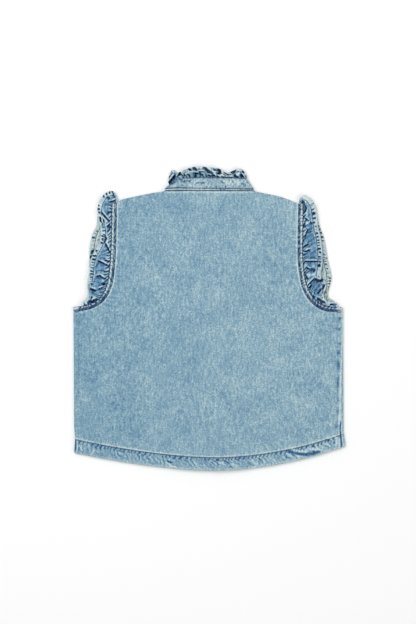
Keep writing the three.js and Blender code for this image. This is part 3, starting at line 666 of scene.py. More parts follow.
def side_seam(side):
    """A strip round the flattened side, from the fronts up to the back."""
    sign, edge, bend, turns = SIGN[side], SIDE_EDGE[side], 2, 12
    share = np.linspace(0, 1, 190)[:, None]
    quarter = np.linspace(0, math.pi / 2, turns)
    flat = np.linspace(0, 1, 10)

    def section(inset):
        y_edge = bottom_y(edge) + share * (ARMPIT_Y - SEAM_GAP - bottom_y(edge))
        outer = lookup(SIDE_OUTLINE[side], y_edge)
        inner = edge - sign * 0.1
        top = back_under(edge, y_edge) + back_thick(edge, y_edge)
        middle, radius = outer - sign * bend, bend - inset
        low_x = inner + (middle - inner) * flat[:-1]
        low = (low_x, inset + 0 * low_x)
        under = (middle + sign * radius * np.sin(quarter), bend - radius * np.cos(quarter))
        over = (middle + sign * radius * np.cos(quarter), top - bend + radius * np.sin(quarter))
        high_x = middle + (inner - middle) * flat[1:]
        high = (high_x, top - inset + 0 * high_x)
        x = np.hstack([low[0], under[0], over[0], high[0]])
        z = np.hstack([low[1] + 0 * share, under[1] + 0 * share, over[1], high[1]])
        y = bottom_y(x) + share * (ARMPIT_Y - SEAM_GAP - bottom_y(x))
        return x, y, z

    x, y, z = section(0)
    upper = smooth(1.6, 3, z)
    relief = hem_relief(x, y) + crease_height(x, y, BACK_CREASES)
    relief += side_relief(x, y) + crease_height(x, y, SIDE_FOLDS[side])
    rolled_edge = 0.25 * smooth(1.5, 0, np.abs(z - 2.4))
    # The tone paints the creases and dents darker, as shade and kept indigo, and the ridges paler,
    # as worn cloth with a painted highlight; the rolled edge is worn paler.
    tone = dye_and_shading(1.3 * relief * upper + rolled_edge + paler_to_right(x))
    deepest = -0.7  # deeper creases would come through the wall
    outside = skin(x, y, z + np.maximum(relief, deepest) * upper, tone)
    x, y, z = section(CLOTH)
    return outside, skin(every(x, 3), every(y, 3), every(z, 3), 0)


# Armhole bands and ruffles


def band_surface(layer, side, along, out):
    hole = ARMHOLES[side]
    x, y, _, _ = hole.at(along, out)
    run = along * hole.length
    thick = lookup(BAND_HEIGHT[layer], out)
    seed = 40 + (side == "right")
    uneven = wobble(run, 3 * out, 17, seed)
    if layer == "front":
        relief = 0.12 * np.sin(math.tau * run / BUNCH) * hump(out, 2, 2)
        # The bunches' hollows are painted darker as shade and their tops paler.
        return x, y, thick + relief, np.tanh(2 * relief)
    patches = 0.5 + 0.5 * np.sin(math.tau * (run + 4 * uneven) / 9)
    channel = -hump(out, -0.6, 1.4) * (0.1 + 0.85 * patches**1.5)
    turn = (run + 0.9 * out + 1.5 * uneven) / ARMHOLE_PUCKER
    nicks = bumps(turn) ** 2
    strip = hump(out, 2.2, 1.1) * (0.8 - 1.1 * nicks)
    lip = -0.7 * hump(out, 3.9, 0.8)
    tab = smooth(0.955, 0.965, along)  # the band's plain end at the side seam
    underarm = smooth(0.66, 0.76, along) * (1 - tab)
    bunched = pleats((run - 0.5 * out + 2.2 * uneven) / BUNCH)
    bunched = 1.2 * bunched * smooth(0.4, 1.6, out) * underarm
    relief = channel + strip * (1 - 0.7 * underarm) + lip + bunched
    relief = relief * (1 - 0.7 * tab) + 0.5 * tab * hump(out, 2.2, 1.4)
    z = back_under(x, y) + thick + 0.7 * relief
    # The tone paints the channel and the bunches darker, as shade and kept indigo, and the strip's
    # ridges paler, as worn cloth with a painted highlight; the whole underarm stretch is darker
    # too.
    return x, y, z, dye_and_shading(1.7 * relief - 0.45 * underarm)


def armhole_band(layer, side):
    columns, rows = 330, 15
    along, out = np.meshgrid(np.linspace(0, 1, columns), np.linspace(*BAND, rows))
    x, y, z, tone = band_surface(layer, side, along, out)
    under = back_under(x, y) if layer == "back" else 0 * z
    cut = np.stack([along * ARMHOLES[side].length, out], -1)
    step = 3
    low = skin(every(x, step), every(y, step), every(under, step), 0, every(cut, step))
    return skin(x, y, z, tone, cut), low


def gathers(run, out, reach, drift, hem, seed, hem_wear=0.85):
    """Tight pleats at the seam, wider folds beyond them, and a narrow puckered hem.

    Gives the height of the relief, and its tone before any creases: painted shadow darkens the
    troughs of the tight gathers and the cloth along the seam, the hem's puckers are painted shade
    with kept indigo, and the hem strip is worn paler."""
    uneven = wobble(run, out, 15, seed)
    bold = 1 + 0.45 * wobble(run, 0 * out, 17, seed + 100)
    close = np.exp(-((out / 3.5) ** 1.6)) * bold
    tight = pleats((run + drift * out + 2.1 * uneven) / PLEAT) * close
    wide = pleats((run + 0.8 * drift * out + 3.4 * uneven) / FOLD + 0.3) * smooth(1, 6, out)
    from_edge = reach - out
    wide = wide * smooth(hem - 0.5, hem + 3, from_edge)
    turn = (1.1 * run + 0.3 * np.sign(drift) * from_edge + 1.9 * uneven) / RUFFLE_DASH
    patchy = np.clip(0.4 + 0.5 * wobble(run, 0 * out, 19, seed + 200), 0.05, 1.3)
    dashes = bumps(turn) * patchy
    puckers = -dashes * hump(from_edge, 0.62 * hem, 0.3 * hem) * smooth(0, 1.6, from_edge)
    strip = smooth(hem + 0.2, hem - 0.6, from_edge)
    channel = 0.4 * hump(from_edge, hem + 1.3, 0.8) - 0.4 * hump(from_edge, hem, 0.5)
    relief = 1.6 * tight + 0.45 * wide + puckers + channel
    # Painted shadow: the tight gathers' troughs are darkened far more than their ridges are
    # lightened, and the cloth close to the seam is darker.
    tone = 3.2 * np.minimum(tight, 0.2) - 0.2 * close + 0.45 * wide
    tone = tone + 3 * puckers + hem_wear * strip + 1.1 * channel
    return relief, tone


def armhole_rib(layer, side, along, out):
    hole = ARMHOLES[side]
    rows = ARMHOLE_RUFFLES[f"{layer}_{side}"]
    over = np.maximum(0, -along) * hole.length
    x, y, wx, wy = hole.at(along, RUFFLE_START - over)
    lean = np.radians(through(rows, "along", "lean", along))
    across = hole.sign * out * np.cos(lean)
    up = out * np.sin(lean) + 0.5 * (over > 0)
    return x - wy * across - wx * up, y + wx * across - wy * up


RUFFLE_LEVEL = {"back": (5.4, 4.1, 9.5), "front": (2.0, 0.95, 3.1)}  # middle, lowest, highest


def armhole_ruffle_surface(layer, side, along, out):
    rows = ARMHOLE_RUFFLES[f"{layer}_{side}"]
    reach = through(rows, "along", "reach", along)
    x, y = armhole_rib(layer, side, along, out)
    run = along * ARMHOLES[side].length
    drift = {"left": -0.7, "right": 1.0}[side]
    seed = 50 + 2 * (layer == "front") + (side == "right")
    hem_wear = 0.85 if layer == "back" else 0.3  # the front's hem shows the cloth's face
    relief, tone = gathers(run, out, reach, drift, RUFFLE_HEM, seed, hem_wear)
    folds = crease_height(x, y, RUFFLE_CREASES[f"{layer}_{side}"])
    relief = relief * (1 if layer == "back" else 0.55) + folds
    middle, lowest, highest = RUFFLE_LEVEL[layer]
    # The creases' tone paints the shadows in the folds and under the lapped lobes, with kept
    # indigo, and pale worn ridges with a painted highlight.
    return x, y, np.clip(middle + relief, lowest, highest), dye_and_shading(tone + 1.6 * folds - 0.06)


def armhole_ruffle(layer, side):
    rows = ARMHOLE_RUFFLES[f"{layer}_{side}"]
    columns, ribs = 330, 40
    along, share = np.meshgrid(
        np.linspace(rows["along"][0], rows["along"][-1], columns), np.linspace(0, 1, ribs)
    )
    reach = through(rows, "along", "reach", along)
    x, y, z, tone = armhole_ruffle_surface(layer, side, along, share * reach)
    cut = np.stack([along * ARMHOLES[side].length * FULLNESS, share * reach], -1)
    # The underside takes the face's tone turned over, so its painted shade lies under the face's
    # ridges.
    return skin(x, y, z, tone, cut), skin(x, y, z - RUFFLE_CLOTH, -0.9 * tone, cut)


# Collar


def lies_on(piece, x, y):
    """The height of what a piece of the collar lies on."""
    if piece == "back":
        return back_under(x, y)
    return front_under(piece.replace("front_", ""), x, y)


def stand_top(piece, x):
    if piece == "back":
        return lookup(BACK_STAND, x)
    return np.minimum(front_foot(x) + STAND_HEIGHT, 152.6 + (NECK_HALF - np.abs(x)) * 1.35)


def front_foot(x):
    return front_neck_y(x) - 0.5


def stand_surface(piece, x, y):
    if piece != "back":
        thick = 1.2 + 0.1 * wobble(x, y, 15, 62)
        dark = crease_height(x, y, STAND_SHADE)
        return lies_on(piece, x, y) + thick, np.tanh(dark + 0.2)
    up = y - STAND_FOOT
    uneven = wobble(x, y, 22, 61)
    line = lookup(STAND_LINE, x)
    relief = 0.45 * hump(up, line - 1.3, 0.7) - 0.6 * hump(up, line, 0.7) - 0.5 * hump(up, 0, 0.6)
    puckers = pleats((x - 0.9 * up + 2.4 * uneven) / 6) * smooth(3, 6, up)
    relief += 0.22 * puckers * (0.8 + 0.4 * uneven)
    relief += 0.52 * crease_height(x, y, STAND_CREASES)
    relief -= 0.4 * hump(y, stand_top("back", x), 1.3)
    # The tone paints the stand's recesses and nicks darker, as shade and kept indigo, and its
    # ridges paler, as worn cloth with a painted highlight.
    return lies_on(piece, x, y) + 1.8 + relief, dye_and_shading(1.6 * relief + 0.1 * uneven + 0.18)


def collar_stand(piece):
    x, share = np.meshgrid(np.linspace(*STAND_ENDS[piece], 180), np.linspace(0, 1, 26))
    foot = STAND_FOOT if piece == "back" else front_foot(x)
    y = foot + share * (stand_top(piece, x) - foot)
    z, tone = stand_surface(piece, x, y)
    low, step = lies_on(piece, x, y), 3
    return skin(x, y, z, tone), skin(every(x, step), every(y, step), every(low, step), 0)


def collar_ruffle_surface(piece, root, out):
    rows = COLLAR_RUFFLES[piece]
    reach = through(rows, "x", "reach", root)
    lean = np.radians(through(rows, "x", "lean", root))
    x = root - out * np.sin(lean)
    y = stand_top(piece, root) + SEAM_GAP + out * np.cos(lean)
    seed = {"back": 71, "front_left": 72, "front_right": 73}[piece]
    relief, tone = gathers(root, out, reach, 0.8, COLLAR_HEM, seed)
    folds = crease_height(x, y, FRILL_CREASES[piece])
    relief = 0.8 * relief + folds
    if piece == "back":
        base, contrast = lies_on(piece, x, y) + 2.2, 0.6
    else:
        base, contrast = 0.6 * lies_on(piece, x, y) + 1.7, 0.35
        relief = 0.5 * relief
    z = np.clip(base + relief, np.maximum(base - 1.3, RUFFLE_CLOTH), base + 2.6)
    # The creases' tone paints the shadows in the frill's folds, such as the dark gap beside the
    # back stand's end and the line under a lifted lobe, with kept indigo, and pale worn ridges with
    # a painted highlight.
    return x, y, z, dye_and_shading(contrast * tone + 1.7 * folds - 0.1)


def collar_ruffle(piece):
    rows = COLLAR_RUFFLES[piece]
    root, share = np.meshgrid(np.linspace(rows["x"][0], rows["x"][-1], 240), np.linspace(0, 1, 26))
    reach = through(rows, "x", "reach", root)
    x, y, z, tone = collar_ruffle_surface(piece, root, share * reach)
    cut = np.stack([FULLNESS * root, share * reach], -1)
    # The underside takes the face's tone turned over, so its painted shade lies under the face's
    # ridges.
    return skin(x, y, z, tone, cut), skin(x, y, z - COLLAR_CLOTH, -0.9 * tone, cut)


# Meshes

low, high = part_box("button_1")
OFFSET = np.array([(low.x + high.x) / 2, (low.y + high.y) / 2 - BUTTONS_Y[0] * MM, 0])


def zip_edges(first, second):
    """Triangles between two edges of points that run side by side."""
    faces, i, j = [], 0, 0
    last_i, last_j = len(first) - 1, len(second) - 1
    while i < last_i or j < last_j:
        if j == last_j or (i < last_i and (i + 1) * last_j <= (j + 1) * last_i):
            faces.append((first[i], second[j], first[i + 1]))
            i += 1
        else:
            faces.append((first[i], second[j], second[j + 1]))
            j += 1
    return faces


def quads(grid):
    corners = [grid[:-1, :-1], grid[:-1, 1:], grid[1:, 1:], grid[1:, :-1]]
    return np.stack(corners, -1).reshape(-1, 4)


def signed_volume(points, faces):
    first, second, third = (points[[face[k] for face in faces]] for k in (0, 1, 2))
    last = points[[face[-1] for face in faces]]
    both = np.cross(second, third) + np.cross(third, last)
    return np.einsum("ij,ij->i", first, both).sum()


def new_piece(name, mesh):
    """An object for a finished mesh, riding on the vest."""
    mesh.polygons.foreach_set("use_smooth", np.ones(len(mesh.polygons), bool))
    piece = bpy.data.objects.new(name, mesh)
    bpy.context.scene.collection.objects.link(piece)
    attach(piece, "root")
    return piece


def shell(name, upper, lower, finish, under_finish):
    """A closed wall of cloth between two skins, which may have different numbers of points."""
    sizes = [part.points.shape[:2] for part in (upper, lower)]
    count = sizes[0][0] * sizes[0][1]
    top = np.arange(count).reshape(sizes[0])
    bottom = count + np.arange(sizes[1][0] * sizes[1][1]).reshape(sizes[1])
    upper_faces, lower_faces = quads(top).tolist(), quads(bottom)[:, ::-1].tolist()
    rim = zip_edges(top[0], bottom[0]) + zip_edges(top[:, -1], bottom[:, -1])
    rim += zip_edges(top[-1, ::-1], bottom[-1, ::-1]) + zip_edges(top[::-1, 0], bottom[::-1, 0])
    faces = upper_faces + lower_faces + [tuple(int(p) for p in face) for face in rim]
    points = np.vstack([part.points.reshape(-1, 3) for part in (upper, lower)])
    if signed_volume(points, faces) < 0:
        faces = [face[::-1] for face in faces]
    mesh = bpy.data.meshes.new(name)
    mesh.from_pydata((points * MM + OFFSET).tolist(), [], faces)
    mesh.materials.append(finish)
    mesh.materials.append(under_finish)
    is_under = np.zeros(len(faces), int)
    is_under[len(upper_faces) : len(upper_faces) + len(lower_faces)] = 1
    mesh.polygons.foreach_set("material_index", is_under)
    tone = np.concatenate([part.tone.ravel() for part in (upper, lower)])
    mesh.attributes.new("tone", "FLOAT", "POINT").data.foreach_set("value", tone)
    cut = np.vstack([part.cut.reshape(-1, 2) for part in (upper, lower)]) * MM
    corner = np.zeros(len(mesh.loops), int)
    mesh.loops.foreach_get("vertex_index", corner)
    mesh.uv_layers.new(name="cut").data.foreach_set("uv", cut[corner].ravel())
    mesh.update()
    return new_piece(name, mesh)


# Shader groups and materials

EXPOSURE = 1.2  # the studio's light turns white paper a little over white


def linear(*rgb):
    """The finish that shows as these 8-bit screen values in the studio's light."""
    part = lambda c: c / 12.92 if c <= 0.04045 else ((c + 0.055) / 1.055) ** 2.4
    return (*(part(c / 255) / EXPOSURE for c in rgb), 1)


def wire(tree, node, inputs):
    """Links each input that is given a socket, and sets each one that is given a value."""
    for key, value in inputs.items():
        if isinstance(value, bpy.types.NodeSocket):
            tree.links.new(value, node.inputs[key])
        else:
            node.inputs[key].default_value = value


def add(tree, kind, inputs=None, **settings):
    node = tree.nodes.new(kind)
    for key, value in settings.items():
        setattr(node, key, value)
    wire(tree, node, inputs or {})
    return node


def calc(tree, operation, *values):
    return add(tree, "ShaderNodeMath", dict(enumerate(values)), operation=operation).outputs[0]


def mix(tree, amount, first, second):
    inputs = {0: amount, 6: first, 7: second}
    return add(tree, "ShaderNodeMix", inputs, data_type="RGBA").outputs[2]


def noise(tree, place, scale, detail, roughness=0.5):
    inputs = {"Vector": place, "Scale": scale, "Detail": detail, "Roughness": roughness}
    return add(tree, "ShaderNodeTexNoise", inputs).outputs[0]


def ranged(tree, value, low, high, to_low=0.0, to_high=1.0):
    """One range of values turned into another, and held at its ends."""
    ends = {"From Min": low, "From Max": high, "To Min": to_low, "To Max": to_high}
    return add(tree, "ShaderNodeMapRange", {"Value": value, **ends}).outputs[0]


def bumped(tree, height, strength, distance):
    inputs = {"Height": height, "Strength": strength, "Distance": distance}
    return add(tree, "ShaderNodeBump", inputs).outputs[0]


def new_group(name, inputs, outputs):
    tree = bpy.data.node_groups.new(name, "ShaderNodeTree")
    for label, kind, default in inputs:
        socket = tree.interface.new_socket(label, in_out="INPUT", socket_type=kind)
        if default is not None:
            socket.default_value = default
    for label, kind in outputs:
        tree.interface.new_socket(label, in_out="OUTPUT", socket_type=kind)
    return tree, tree.nodes.new("NodeGroupInput").outputs, tree.nodes.new("NodeGroupOutput")


def twill_group():
    """Slanted ridges of warp thread with pale weft between them, from a place in metres."""
    tree, given, result = new_group(
        "twill_weave",
        [("Place", "NodeSocketVector", None), ("Ridge", "NodeSocketFloat", 0.0011),
         ("Thread", "NodeSocketFloat", 0.0004)],
        [("Height", "NodeSocketFloat"), ("Weft", "NodeSocketFloat")],
    )
    sway = noise(tree, given["Place"], 260.0, 2.0)
    place = add(tree, "ShaderNodeSeparateXYZ", {"Vector": given["Place"]}).outputs
    swayed = calc(tree, "MULTIPLY_ADD", sway, 0.0009, place[0])
    slanted = calc(tree, "MULTIPLY_ADD", place[1], 0.7, swayed)
    ridge = calc(tree, "PINGPONG", calc(tree, "DIVIDE", slanted, given["Ridge"]), 0.5)
    pick = calc(tree, "PINGPONG", calc(tree, "DIVIDE", place[1], given["Thread"]), 0.5)
    height = calc(tree, "MULTIPLY_ADD", ridge, 1.5, calc(tree, "MULTIPLY", pick, 0.5))
    weft = calc(tree, "MULTIPLY", calc(tree, "SUBTRACT", 0.5, ridge), calc(tree, "ADD", pick, 0.5))
    wire(tree, result, {"Height": height, "Weft": weft})
    return tree


def wash_group():
    """Colour from the tone: deep indigo with painted shade in the recesses, worn cloth with a
    painted highlight on the ridges, and cloudy and streaked between.
    """
    tree, given, result = new_group(
        "washed_dye",
        [("Place", "NodeSocketVector", None), ("Wear_and_shading", "NodeSocketFloat", 0.0),
         ("Cloud", "NodeSocketFloat", 0.5), ("Streak", "NodeSocketFloat", 0.3),
         ("Recess", "NodeSocketColor", None), ("Body", "NodeSocketColor", None),
         ("Worn", "NodeSocketColor", None)],
        [("Colour", "NodeSocketColor"), ("Wear_and_shading", "NodeSocketFloat")],
    )
    stretched = add(tree, "ShaderNodeMapping", {"Vector": given["Place"], "Scale": (420, 130, 200)})
    cloud = noise(tree, given["Place"], 34.0, 7.0, 0.72)
    streak = noise(tree, stretched.outputs[0], 1.0, 4.0, 0.6)
    fleck = noise(tree, given["Place"], 600.0, 3.0, 0.7)
    centred = [calc(tree, "SUBTRACT", source, 0.5) for source in (cloud, streak, fleck)]
    shaded_wear = calc(tree, "MULTIPLY_ADD", centred[0], given["Cloud"], given["Wear_and_shading"])
    shaded_wear = calc(tree, "MULTIPLY_ADD", centred[1], given["Streak"], shaded_wear)
    flecked = calc(tree, "MULTIPLY", given["Streak"], 1.7)
    shaded_wear = calc(tree, "MULTIPLY_ADD", centred[2], flecked, shaded_wear)
    colour = mix(tree, ranged(tree, shaded_wear, -1.0, 0.0), given["Recess"], given["Body"])
    colour = mix(tree, ranged(tree, shaded_wear, 0.0, 1.0), colour, given["Worn"])
    wire(tree, result, {"Colour": colour, "Wear_and_shading": shaded_wear})
    return tree


TWILL = twill_group()
WASH = wash_group()


def new_material(name):
    """A material, its tree and shader, and the place on the object in metres."""
    material = bpy.data.materials.new(name)
    material.use_nodes = True
    tree = material.node_tree
    place = add(tree, "ShaderNodeTexCoord").outputs["Object"]
    return material, tree, tree.nodes["Principled BSDF"], place


def denim(name, recess, body, worn, cloud, streak, weft=0.2):
    """Washed denim, coloured by the mesh's own tone of worn indigo with painted shade and
    highlight.
    """
    material, tree, shader, place = new_material(name)
    cut = add(tree, "ShaderNodeUVMap", uv_map="cut").outputs[0]
    tone = add(tree, "ShaderNodeAttribute", attribute_name="tone").outputs["Fac"]
    twill = add(tree, "ShaderNodeGroup", {"Place": cut}, node_tree=TWILL).outputs
    colours = {"Recess": linear(*recess), "Body": linear(*body), "Worn": linear(*worn)}
    settings = {"Place": place, "Wear_and_shading": tone, "Cloud": cloud, "Streak": streak, **colours}
    wash = add(tree, "ShaderNodeGroup", settings, node_tree=WASH).outputs
    faded = ranged(tree, wash["Wear_and_shading"], -1.0, 0.3)
    amount = calc(tree, "MULTIPLY", calc(tree, "MULTIPLY", twill["Weft"], faded), weft)
    wire(tree, shader, {
        "Base Color": mix(tree, amount, wash["Colour"], colours["Worn"]),
        "Roughness": ranged(tree, wash["Wear_and_shading"], -1.0, 1.0, 0.95, 0.78),
        "Normal": bumped(tree, twill["Height"], 0.5, 0.00022),
        "Specular IOR Level": 0.05,
        "Sheen Weight": 0.015,
        "Sheen Roughness": 0.4,
    })
    return material


def thread_finish(name, dark, light):
    """Twisted sewing thread: fine bands of light and dark across each stitch."""
    material, tree, shader, place = new_material(name)
    twist = noise(tree, place, 1400.0, 1.0)
    patch = noise(tree, place, 90.0, 2.0)
    amount = calc(tree, "MULTIPLY_ADD", patch, 0.8, calc(tree, "MULTIPLY", twist, 0.4))
    wire(tree, shader, {
        "Base Color": mix(tree, amount, linear(*dark), linear(*light)),
        "Roughness": 0.6,
        "Normal": bumped(tree, twist, 0.4, 0.0001),
    })
    return material


def metal_finish(name, colour):
    """Tumbled button metal with fine scuffs."""
    material, tree, shader, place = new_material(name)
    scuff = noise(tree, place, 900.0, 5.0)
    dull = linear(*(0.75 * c for c in colour))
    wire(tree, shader, {
        "Base Color": mix(tree, scuff, dull, linear(*colour)),
        "Roughness": ranged(tree, scuff, 0.0, 1.0, 0.28, 0.55),
        "Metallic": 1,
    })
    return material


WASHED = denim("washed_denim", (50, 98, 148), (134, 172, 191), (216, 235, 236), 1.1, 1.55)
WORN = denim("worn_denim", (24, 62, 110), (140, 173, 190), (226, 241, 240), 0.9, 1.5)
# The gathered denim is darker all over than the body's, partly as painted shade of its gathers and
# partly as less worn cloth; its near-black recess colour is painted shadow over kept indigo.
GATHERED = denim("gathered_denim", (0, 26, 70), (95, 146, 182), (222, 240, 239), 0.9, 1.3)
WRONG_SIDE = denim("wrong_side", (22, 66, 96), (172, 196, 200), (238, 250, 247), 0.7, 1.3, 0.5)
# The collar's frill denim has a near-black recess colour too, painted shadow over kept indigo.
COLLAR_DENIM = denim("collar_denim", (0, 24, 62), (104, 146, 170), (222, 242, 242), 0.7, 1.2)
THREAD = thread_finish("rust_thread", (34, 36, 52), (116, 96, 88))
METAL = metal_finish("tumbled_metal", (176, 174, 166))


# Topstitching


def stitch_tree():
    """Lays a thread stitch at even steps along each curve, in line with it."""
    tree = bpy.data.node_groups.new("topstitch", "GeometryNodeTree")
    face = tree.interface
    face.new_socket("Geometry", in_out="INPUT", socket_type="NodeSocketGeometry")
    usual = {"Pitch": 0.0034, "Length": 0.0029, "Width": 0.0006, "Height": 0.0005}
    for label, size in usual.items():
        socket = face.new_socket(label, in_out="INPUT", socket_type="NodeSocketFloat")
        socket.default_value = size
    face.new_socket("Material", in_out="INPUT", socket_type="NodeSocketMaterial")
    face.new_socket("Geometry", in_out="OUTPUT", socket_type="NodeSocketGeometry")
    given = tree.nodes.new("NodeGroupInput").outputs
    made = lambda kind, inputs, **settings: add(tree, kind, inputs, **settings).outputs[0]
    lengths = {"Curve": given["Geometry"], "Length": given["Pitch"]}
    tangent = add(tree, "GeometryNodeInputTangent").outputs[0]
    placed = made("GeometryNodeInstanceOnPoints", {
        "Points": made("GeometryNodeResampleCurve", lengths, mode="LENGTH"),
        "Instance": made("GeometryNodeMeshUVSphere", {"Segments": 8, "Rings": 5, "Radius": 0.5}),
        "Rotation": made("FunctionNodeAlignRotationToVector", {"Vector": tangent}, axis="X"),
        "Scale": made("ShaderNodeCombineXYZ", {
            "X": given["Length"], "Y": given["Width"], "Z": given["Height"],
        }),
    })
    real = made("GeometryNodeRealizeInstances", {0: placed})
    dressed = made("GeometryNodeSetMaterial", {"Geometry": real, "Material": given["Material"]})
    wire(tree, tree.nodes.new("NodeGroupOutput"), {0: dressed})
    return tree


STITCHES = stitch_tree()


def topstitch(name, runs, **sizes):
    """One piece of thread stitches along runs of points, given in millimetres."""
    curve = bpy.data.curves.new(name + "_path", "CURVE")
    curve.dimensions = "3D"
    for run in runs:
        spline = curve.splines.new("POLY")
        spline.points.add(len(run) - 1)
        spots = np.asarray(run) * MM + OFFSET
        spline.points.foreach_set("co", np.column_stack([spots, np.ones(len(spots))]).ravel())
    path = bpy.data.objects.new(name + "_path", curve)
    bpy.context.scene.collection.objects.link(path)
    modifier = path.modifiers.new("stitches", "NODES")
    modifier.node_group = STITCHES
    values = {"Material": THREAD, **{key.capitalize(): value * MM for key, value in sizes.items()}}
    for item in STITCHES.interface.items_tree:
        if item.in_out == "INPUT" and item.name in values:
            modifier[item.identifier] = values[item.name]
    bpy.context.view_layer.update()
    made = path.evaluated_get(bpy.context.evaluated_depsgraph_get())
    mesh = bpy.data.meshes.new_from_object(made)
    path.modifiers.remove(modifier)
    bpy.data.objects.remove(path)
    mesh.name = name
    return new_piece(name, mesh)


def hem_run(under):
    x = np.linspace(-159.5, 159.5, 240)
    y = bottom_y(x) + hem_depth(x)
    if under:
        return np.column_stack([x, y, front_under("right", np.abs(x), y) + UNDER_LIFT])
    inside = (x > SIDE_EDGE["left"]) & (x < SIDE_EDGE["right"])
    channel_z = 4.9  # of the side seams
    side_z = channel_z + np.maximum(0, side_relief(x, y))
    top = np.where(inside, back_surface(x, y)[0], side_z)
    return np.column_stack([x, y, top + HEM_LIFT])


def placket_run(x):
    """Down the underside of the outer front, at the edge of the lap and at its facing."""
    y = np.linspace(STAND_FOOT - STAND_HEIGHT - 24, bottom_y(x) + hem_depth(x) + 1, 200)
    return np.column_stack([x + 0 * y, y, front_under("right", x, y) + PLACKET_LIFT])


def band_run(side, out):
    along = np.linspace(0.004, 0.985, 260)
    x, y, z, _ = band_surface("back", side, along, out + 0 * along)
    return np.column_stack([x, y, z + BAND_LIFT])


def ruffle_run(layer, side):
    rows = ARMHOLE_RUFFLES[f"{layer}_{side}"]
    along = np.linspace(rows["along"][0] + 0.01, rows["along"][-1] - 0.03, 420)
    out = through(rows, "along", "reach", along) - RUFFLE_HEM
    kept = out > 0.5
    x, y, z, _ = armhole_ruffle_surface(layer, side, along[kept], out[kept])
    return np.column_stack([x, y, z + RUFFLE_LIFT])


def stand_run(share):
    x = np.linspace(-51.5, 52, 130)
    y = STAND_FOOT + share * lookup(STAND_LINE, x)
    return np.column_stack([x, y, stand_surface("back", x, y)[0] + HEM_LIFT])


def collar_run(piece):
    rows = COLLAR_RUFFLES[piece]
    root = np.linspace(rows["x"][0] + 1, rows["x"][-1] - 1, 220)
    out = through(rows, "x", "reach", root) - COLLAR_HEM
    kept = out > 0.5
    x, y, z, _ = collar_ruffle_surface(piece, root[kept], out[kept])
    return np.column_stack([x, y, z + COLLAR_LIFT])


# Buttons


def button(name, y, turns=40):
    """A dished metal button, face down, turned about its middle."""
    profile = np.array([
        (0, 0.35), (3.2, 0.3), (4.2, 0.05), (5.6, 0), (7.1, 0.12), (7.5, 0.55), (7.5, 1.5),
        (7.2, 1.7), (5.2, 1.7), (4.6, 1.2), (0, 1.2),
    ])
    angle = np.linspace(0, math.tau, turns, endpoint=False)
    points = [(0, y, profile[0, 1])]
    for radius, height in profile[1:-1]:
        points += [(radius * math.cos(a), y + radius * math.sin(a), height) for a in angle]
    points.append((0, y, profile[-1, 1]))
    rings = len(profile) - 2
    faces = []
    for k in range(turns):
        after = (k + 1) % turns
        faces.append((0, 1 + after, 1 + k))
        for ring in range(rings - 1):
            start = 1 + ring * turns
            faces.append((start + k, start + after, start + turns + after, start + turns + k))
        start = 1 + (rings - 1) * turns
        faces.append((start + k, start + after, len(points) - 1))
    mesh = bpy.data.meshes.new(name)
    mesh.from_pydata((np.array(points) * MM + OFFSET).tolist(), [], faces)
    mesh.materials.append(METAL)
    return new_piece(name, mesh)


# Studio


def studio():
    scene = bpy.context.scene
    scene.view_settings.view_transform = "Standard"
    world = bpy.data.worlds.new("studio")
    world.use_nodes = True
    sky = world.node_tree
    wire(sky, sky.nodes["Background"], {"Color": (1, 1, 1, 1), "Strength": 0.52})
    scene.world = world
    floor_mesh = bpy.data.meshes.new("floor")
    half, drop = 4, -0.0004
    corners = [(-half, -half, drop), (half, -half, drop), (half, half, drop), (-half, half, drop)]
    floor_mesh.from_pydata(corners, [], [(0, 1, 2, 3)])
    paper = bpy.data.materials.new("white_paper")
    paper.use_nodes = True
    shader = paper.node_tree.nodes["Principled BSDF"]
    wire(paper.node_tree, shader, {"Base Color": (0.93, 0.93, 0.93, 1), "Roughness": 0.9})
    floor_mesh.materials.append(paper)
    floor = bpy.data.objects.new("floor", floor_mesh)
    scene.collection.objects.link(floor)
    for name, place, size, power in (
        ("key", (-0.5, 0.45, 1.55), 1.1, 17),
        ("fill", (1.2, -0.6, 1.5), 1.4, 7),
    ):
        light = bpy.data.lights.new(name, "AREA")
        light.size, light.energy = size, power
        lamp = bpy.data.objects.new(name, light)
        lamp.location = place
        lamp.rotation_euler = (-Vector(place)).to_track_quat("-Z", "Y").to_euler()
        scene.collection.objects.link(lamp)


def camera():
    """Straight above the vest, as the photograph was taken."""
    photo = (416, 624)
    per_pixel = 1.2  # millimetres
    middle = (209, 318.5)  # the pixel over the frame's origin
    lens, sensor, cloth_top = 85, 36, 4
    x = (photo[0] / 2 - middle[0]) * per_pixel
    y = (middle[1] - photo[1] / 2) * per_pixel
    away = photo[1] * per_pixel * lens / sensor + cloth_top
    data = bpy.data.cameras.new("camera")
    data.lens, data.sensor_width = lens, sensor
    eye = bpy.data.objects.new("camera", data)
    eye.location = Vector((x, y, away)) * MM + Vector(OFFSET)
    bpy.context.scene.collection.objects.link(eye)
    bpy.context.scene.camera = eye


# Dressing each piece of the vest


def dress(name, skins, finish, under_finish, node, slot, held, rests_on):
    """One piece of cloth, made in place of its solid, which is hidden."""
    piece = shell(name, *skins, finish, under_finish)
    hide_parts(node)


camera()
studio()

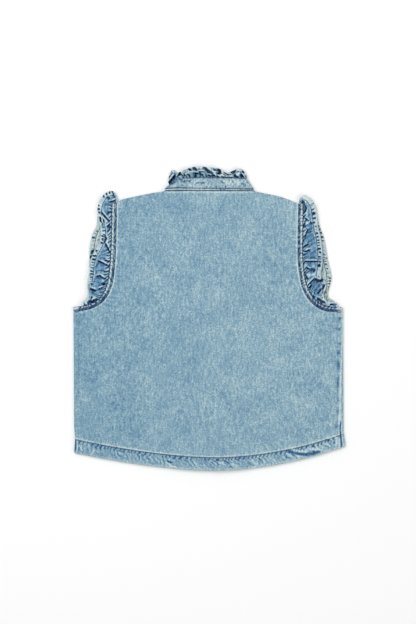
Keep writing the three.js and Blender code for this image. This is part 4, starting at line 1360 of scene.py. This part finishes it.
FRONTS = ["front_cloth_left", "front_cloth_right"]
dress("back_cloth", back_panel(), WASHED, WRONG_SIDE, "back_panel", "washed_denim", "laid", FRONTS)
for side in SIGN:
    dress(f"front_cloth_{side}", front_panel(side), WRONG_SIDE, WASHED,
          f"front_panel_{side}", "washed_denim", "laid", ["floor"])
    dress(f"side_cloth_{side}", side_seam(side), WASHED, WRONG_SIDE,
          f"side_seam_{side}", "washed_denim", "folded", ["floor"])
    for layer, finishes in (("back", (GATHERED, WRONG_SIDE)), ("front", (WRONG_SIDE, GATHERED))):
        dress(f"ruffle_{layer}_{side}", armhole_ruffle(layer, side), *finishes,
              f"armhole_ruffle_{layer}_{side}", "gathered_denim", "gathered",
              [f"band_{layer}_{side}"])
        dress(f"band_{layer}_{side}", armhole_band(layer, side), WORN, WORN,
              f"armhole_band_{layer}_{side}", "worn_denim", "laid",
              [f"band_front_{side}" if layer == "back" else "floor"])
for part in COLLAR_RUFFLES:
    dress(f"stand_{part}", collar_stand(part), WORN if part == "back" else WRONG_SIDE, WORN,
          f"collar_stand_{part}", "worn_denim", "laid", FRONTS)
    dress(f"collar_frill_{part}", collar_ruffle(part), COLLAR_DENIM, COLLAR_DENIM,
          f"collar_ruffle_{part}", "gathered_denim", "gathered", [f"stand_{part}"])

topstitch("hem_stitches", [hem_run(False), hem_run(True)], width=1.15, height=0.65)
topstitch("placket_stitches", [placket_run(at) for at in (-8, 7.6)])
topstitch("armhole_stitches", [band_run(side, out) for side in SIGN for out in (0, 3.7)],
          width=0.5, height=0.4)
topstitch("ruffle_stitches",
          [ruffle_run(layer, side) for side in SIGN for layer in ("back", "front")],
          pitch=2.9, length=2.6, width=0.7, height=0.45)
topstitch("collar_stitches",
          [stand_run(0.1), stand_run(1), collar_run("back"), collar_run("front_left")],
          pitch=2.9, length=2.6, width=0.65, height=0.45)

for place, y in enumerate(BUTTONS_Y):
    last = place == len(BUTTONS_Y) - 1
    label = "collar" if last else str(place + 1)
    disc = button(f"metal_button_{label}", y)
    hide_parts(f"button_{label}")
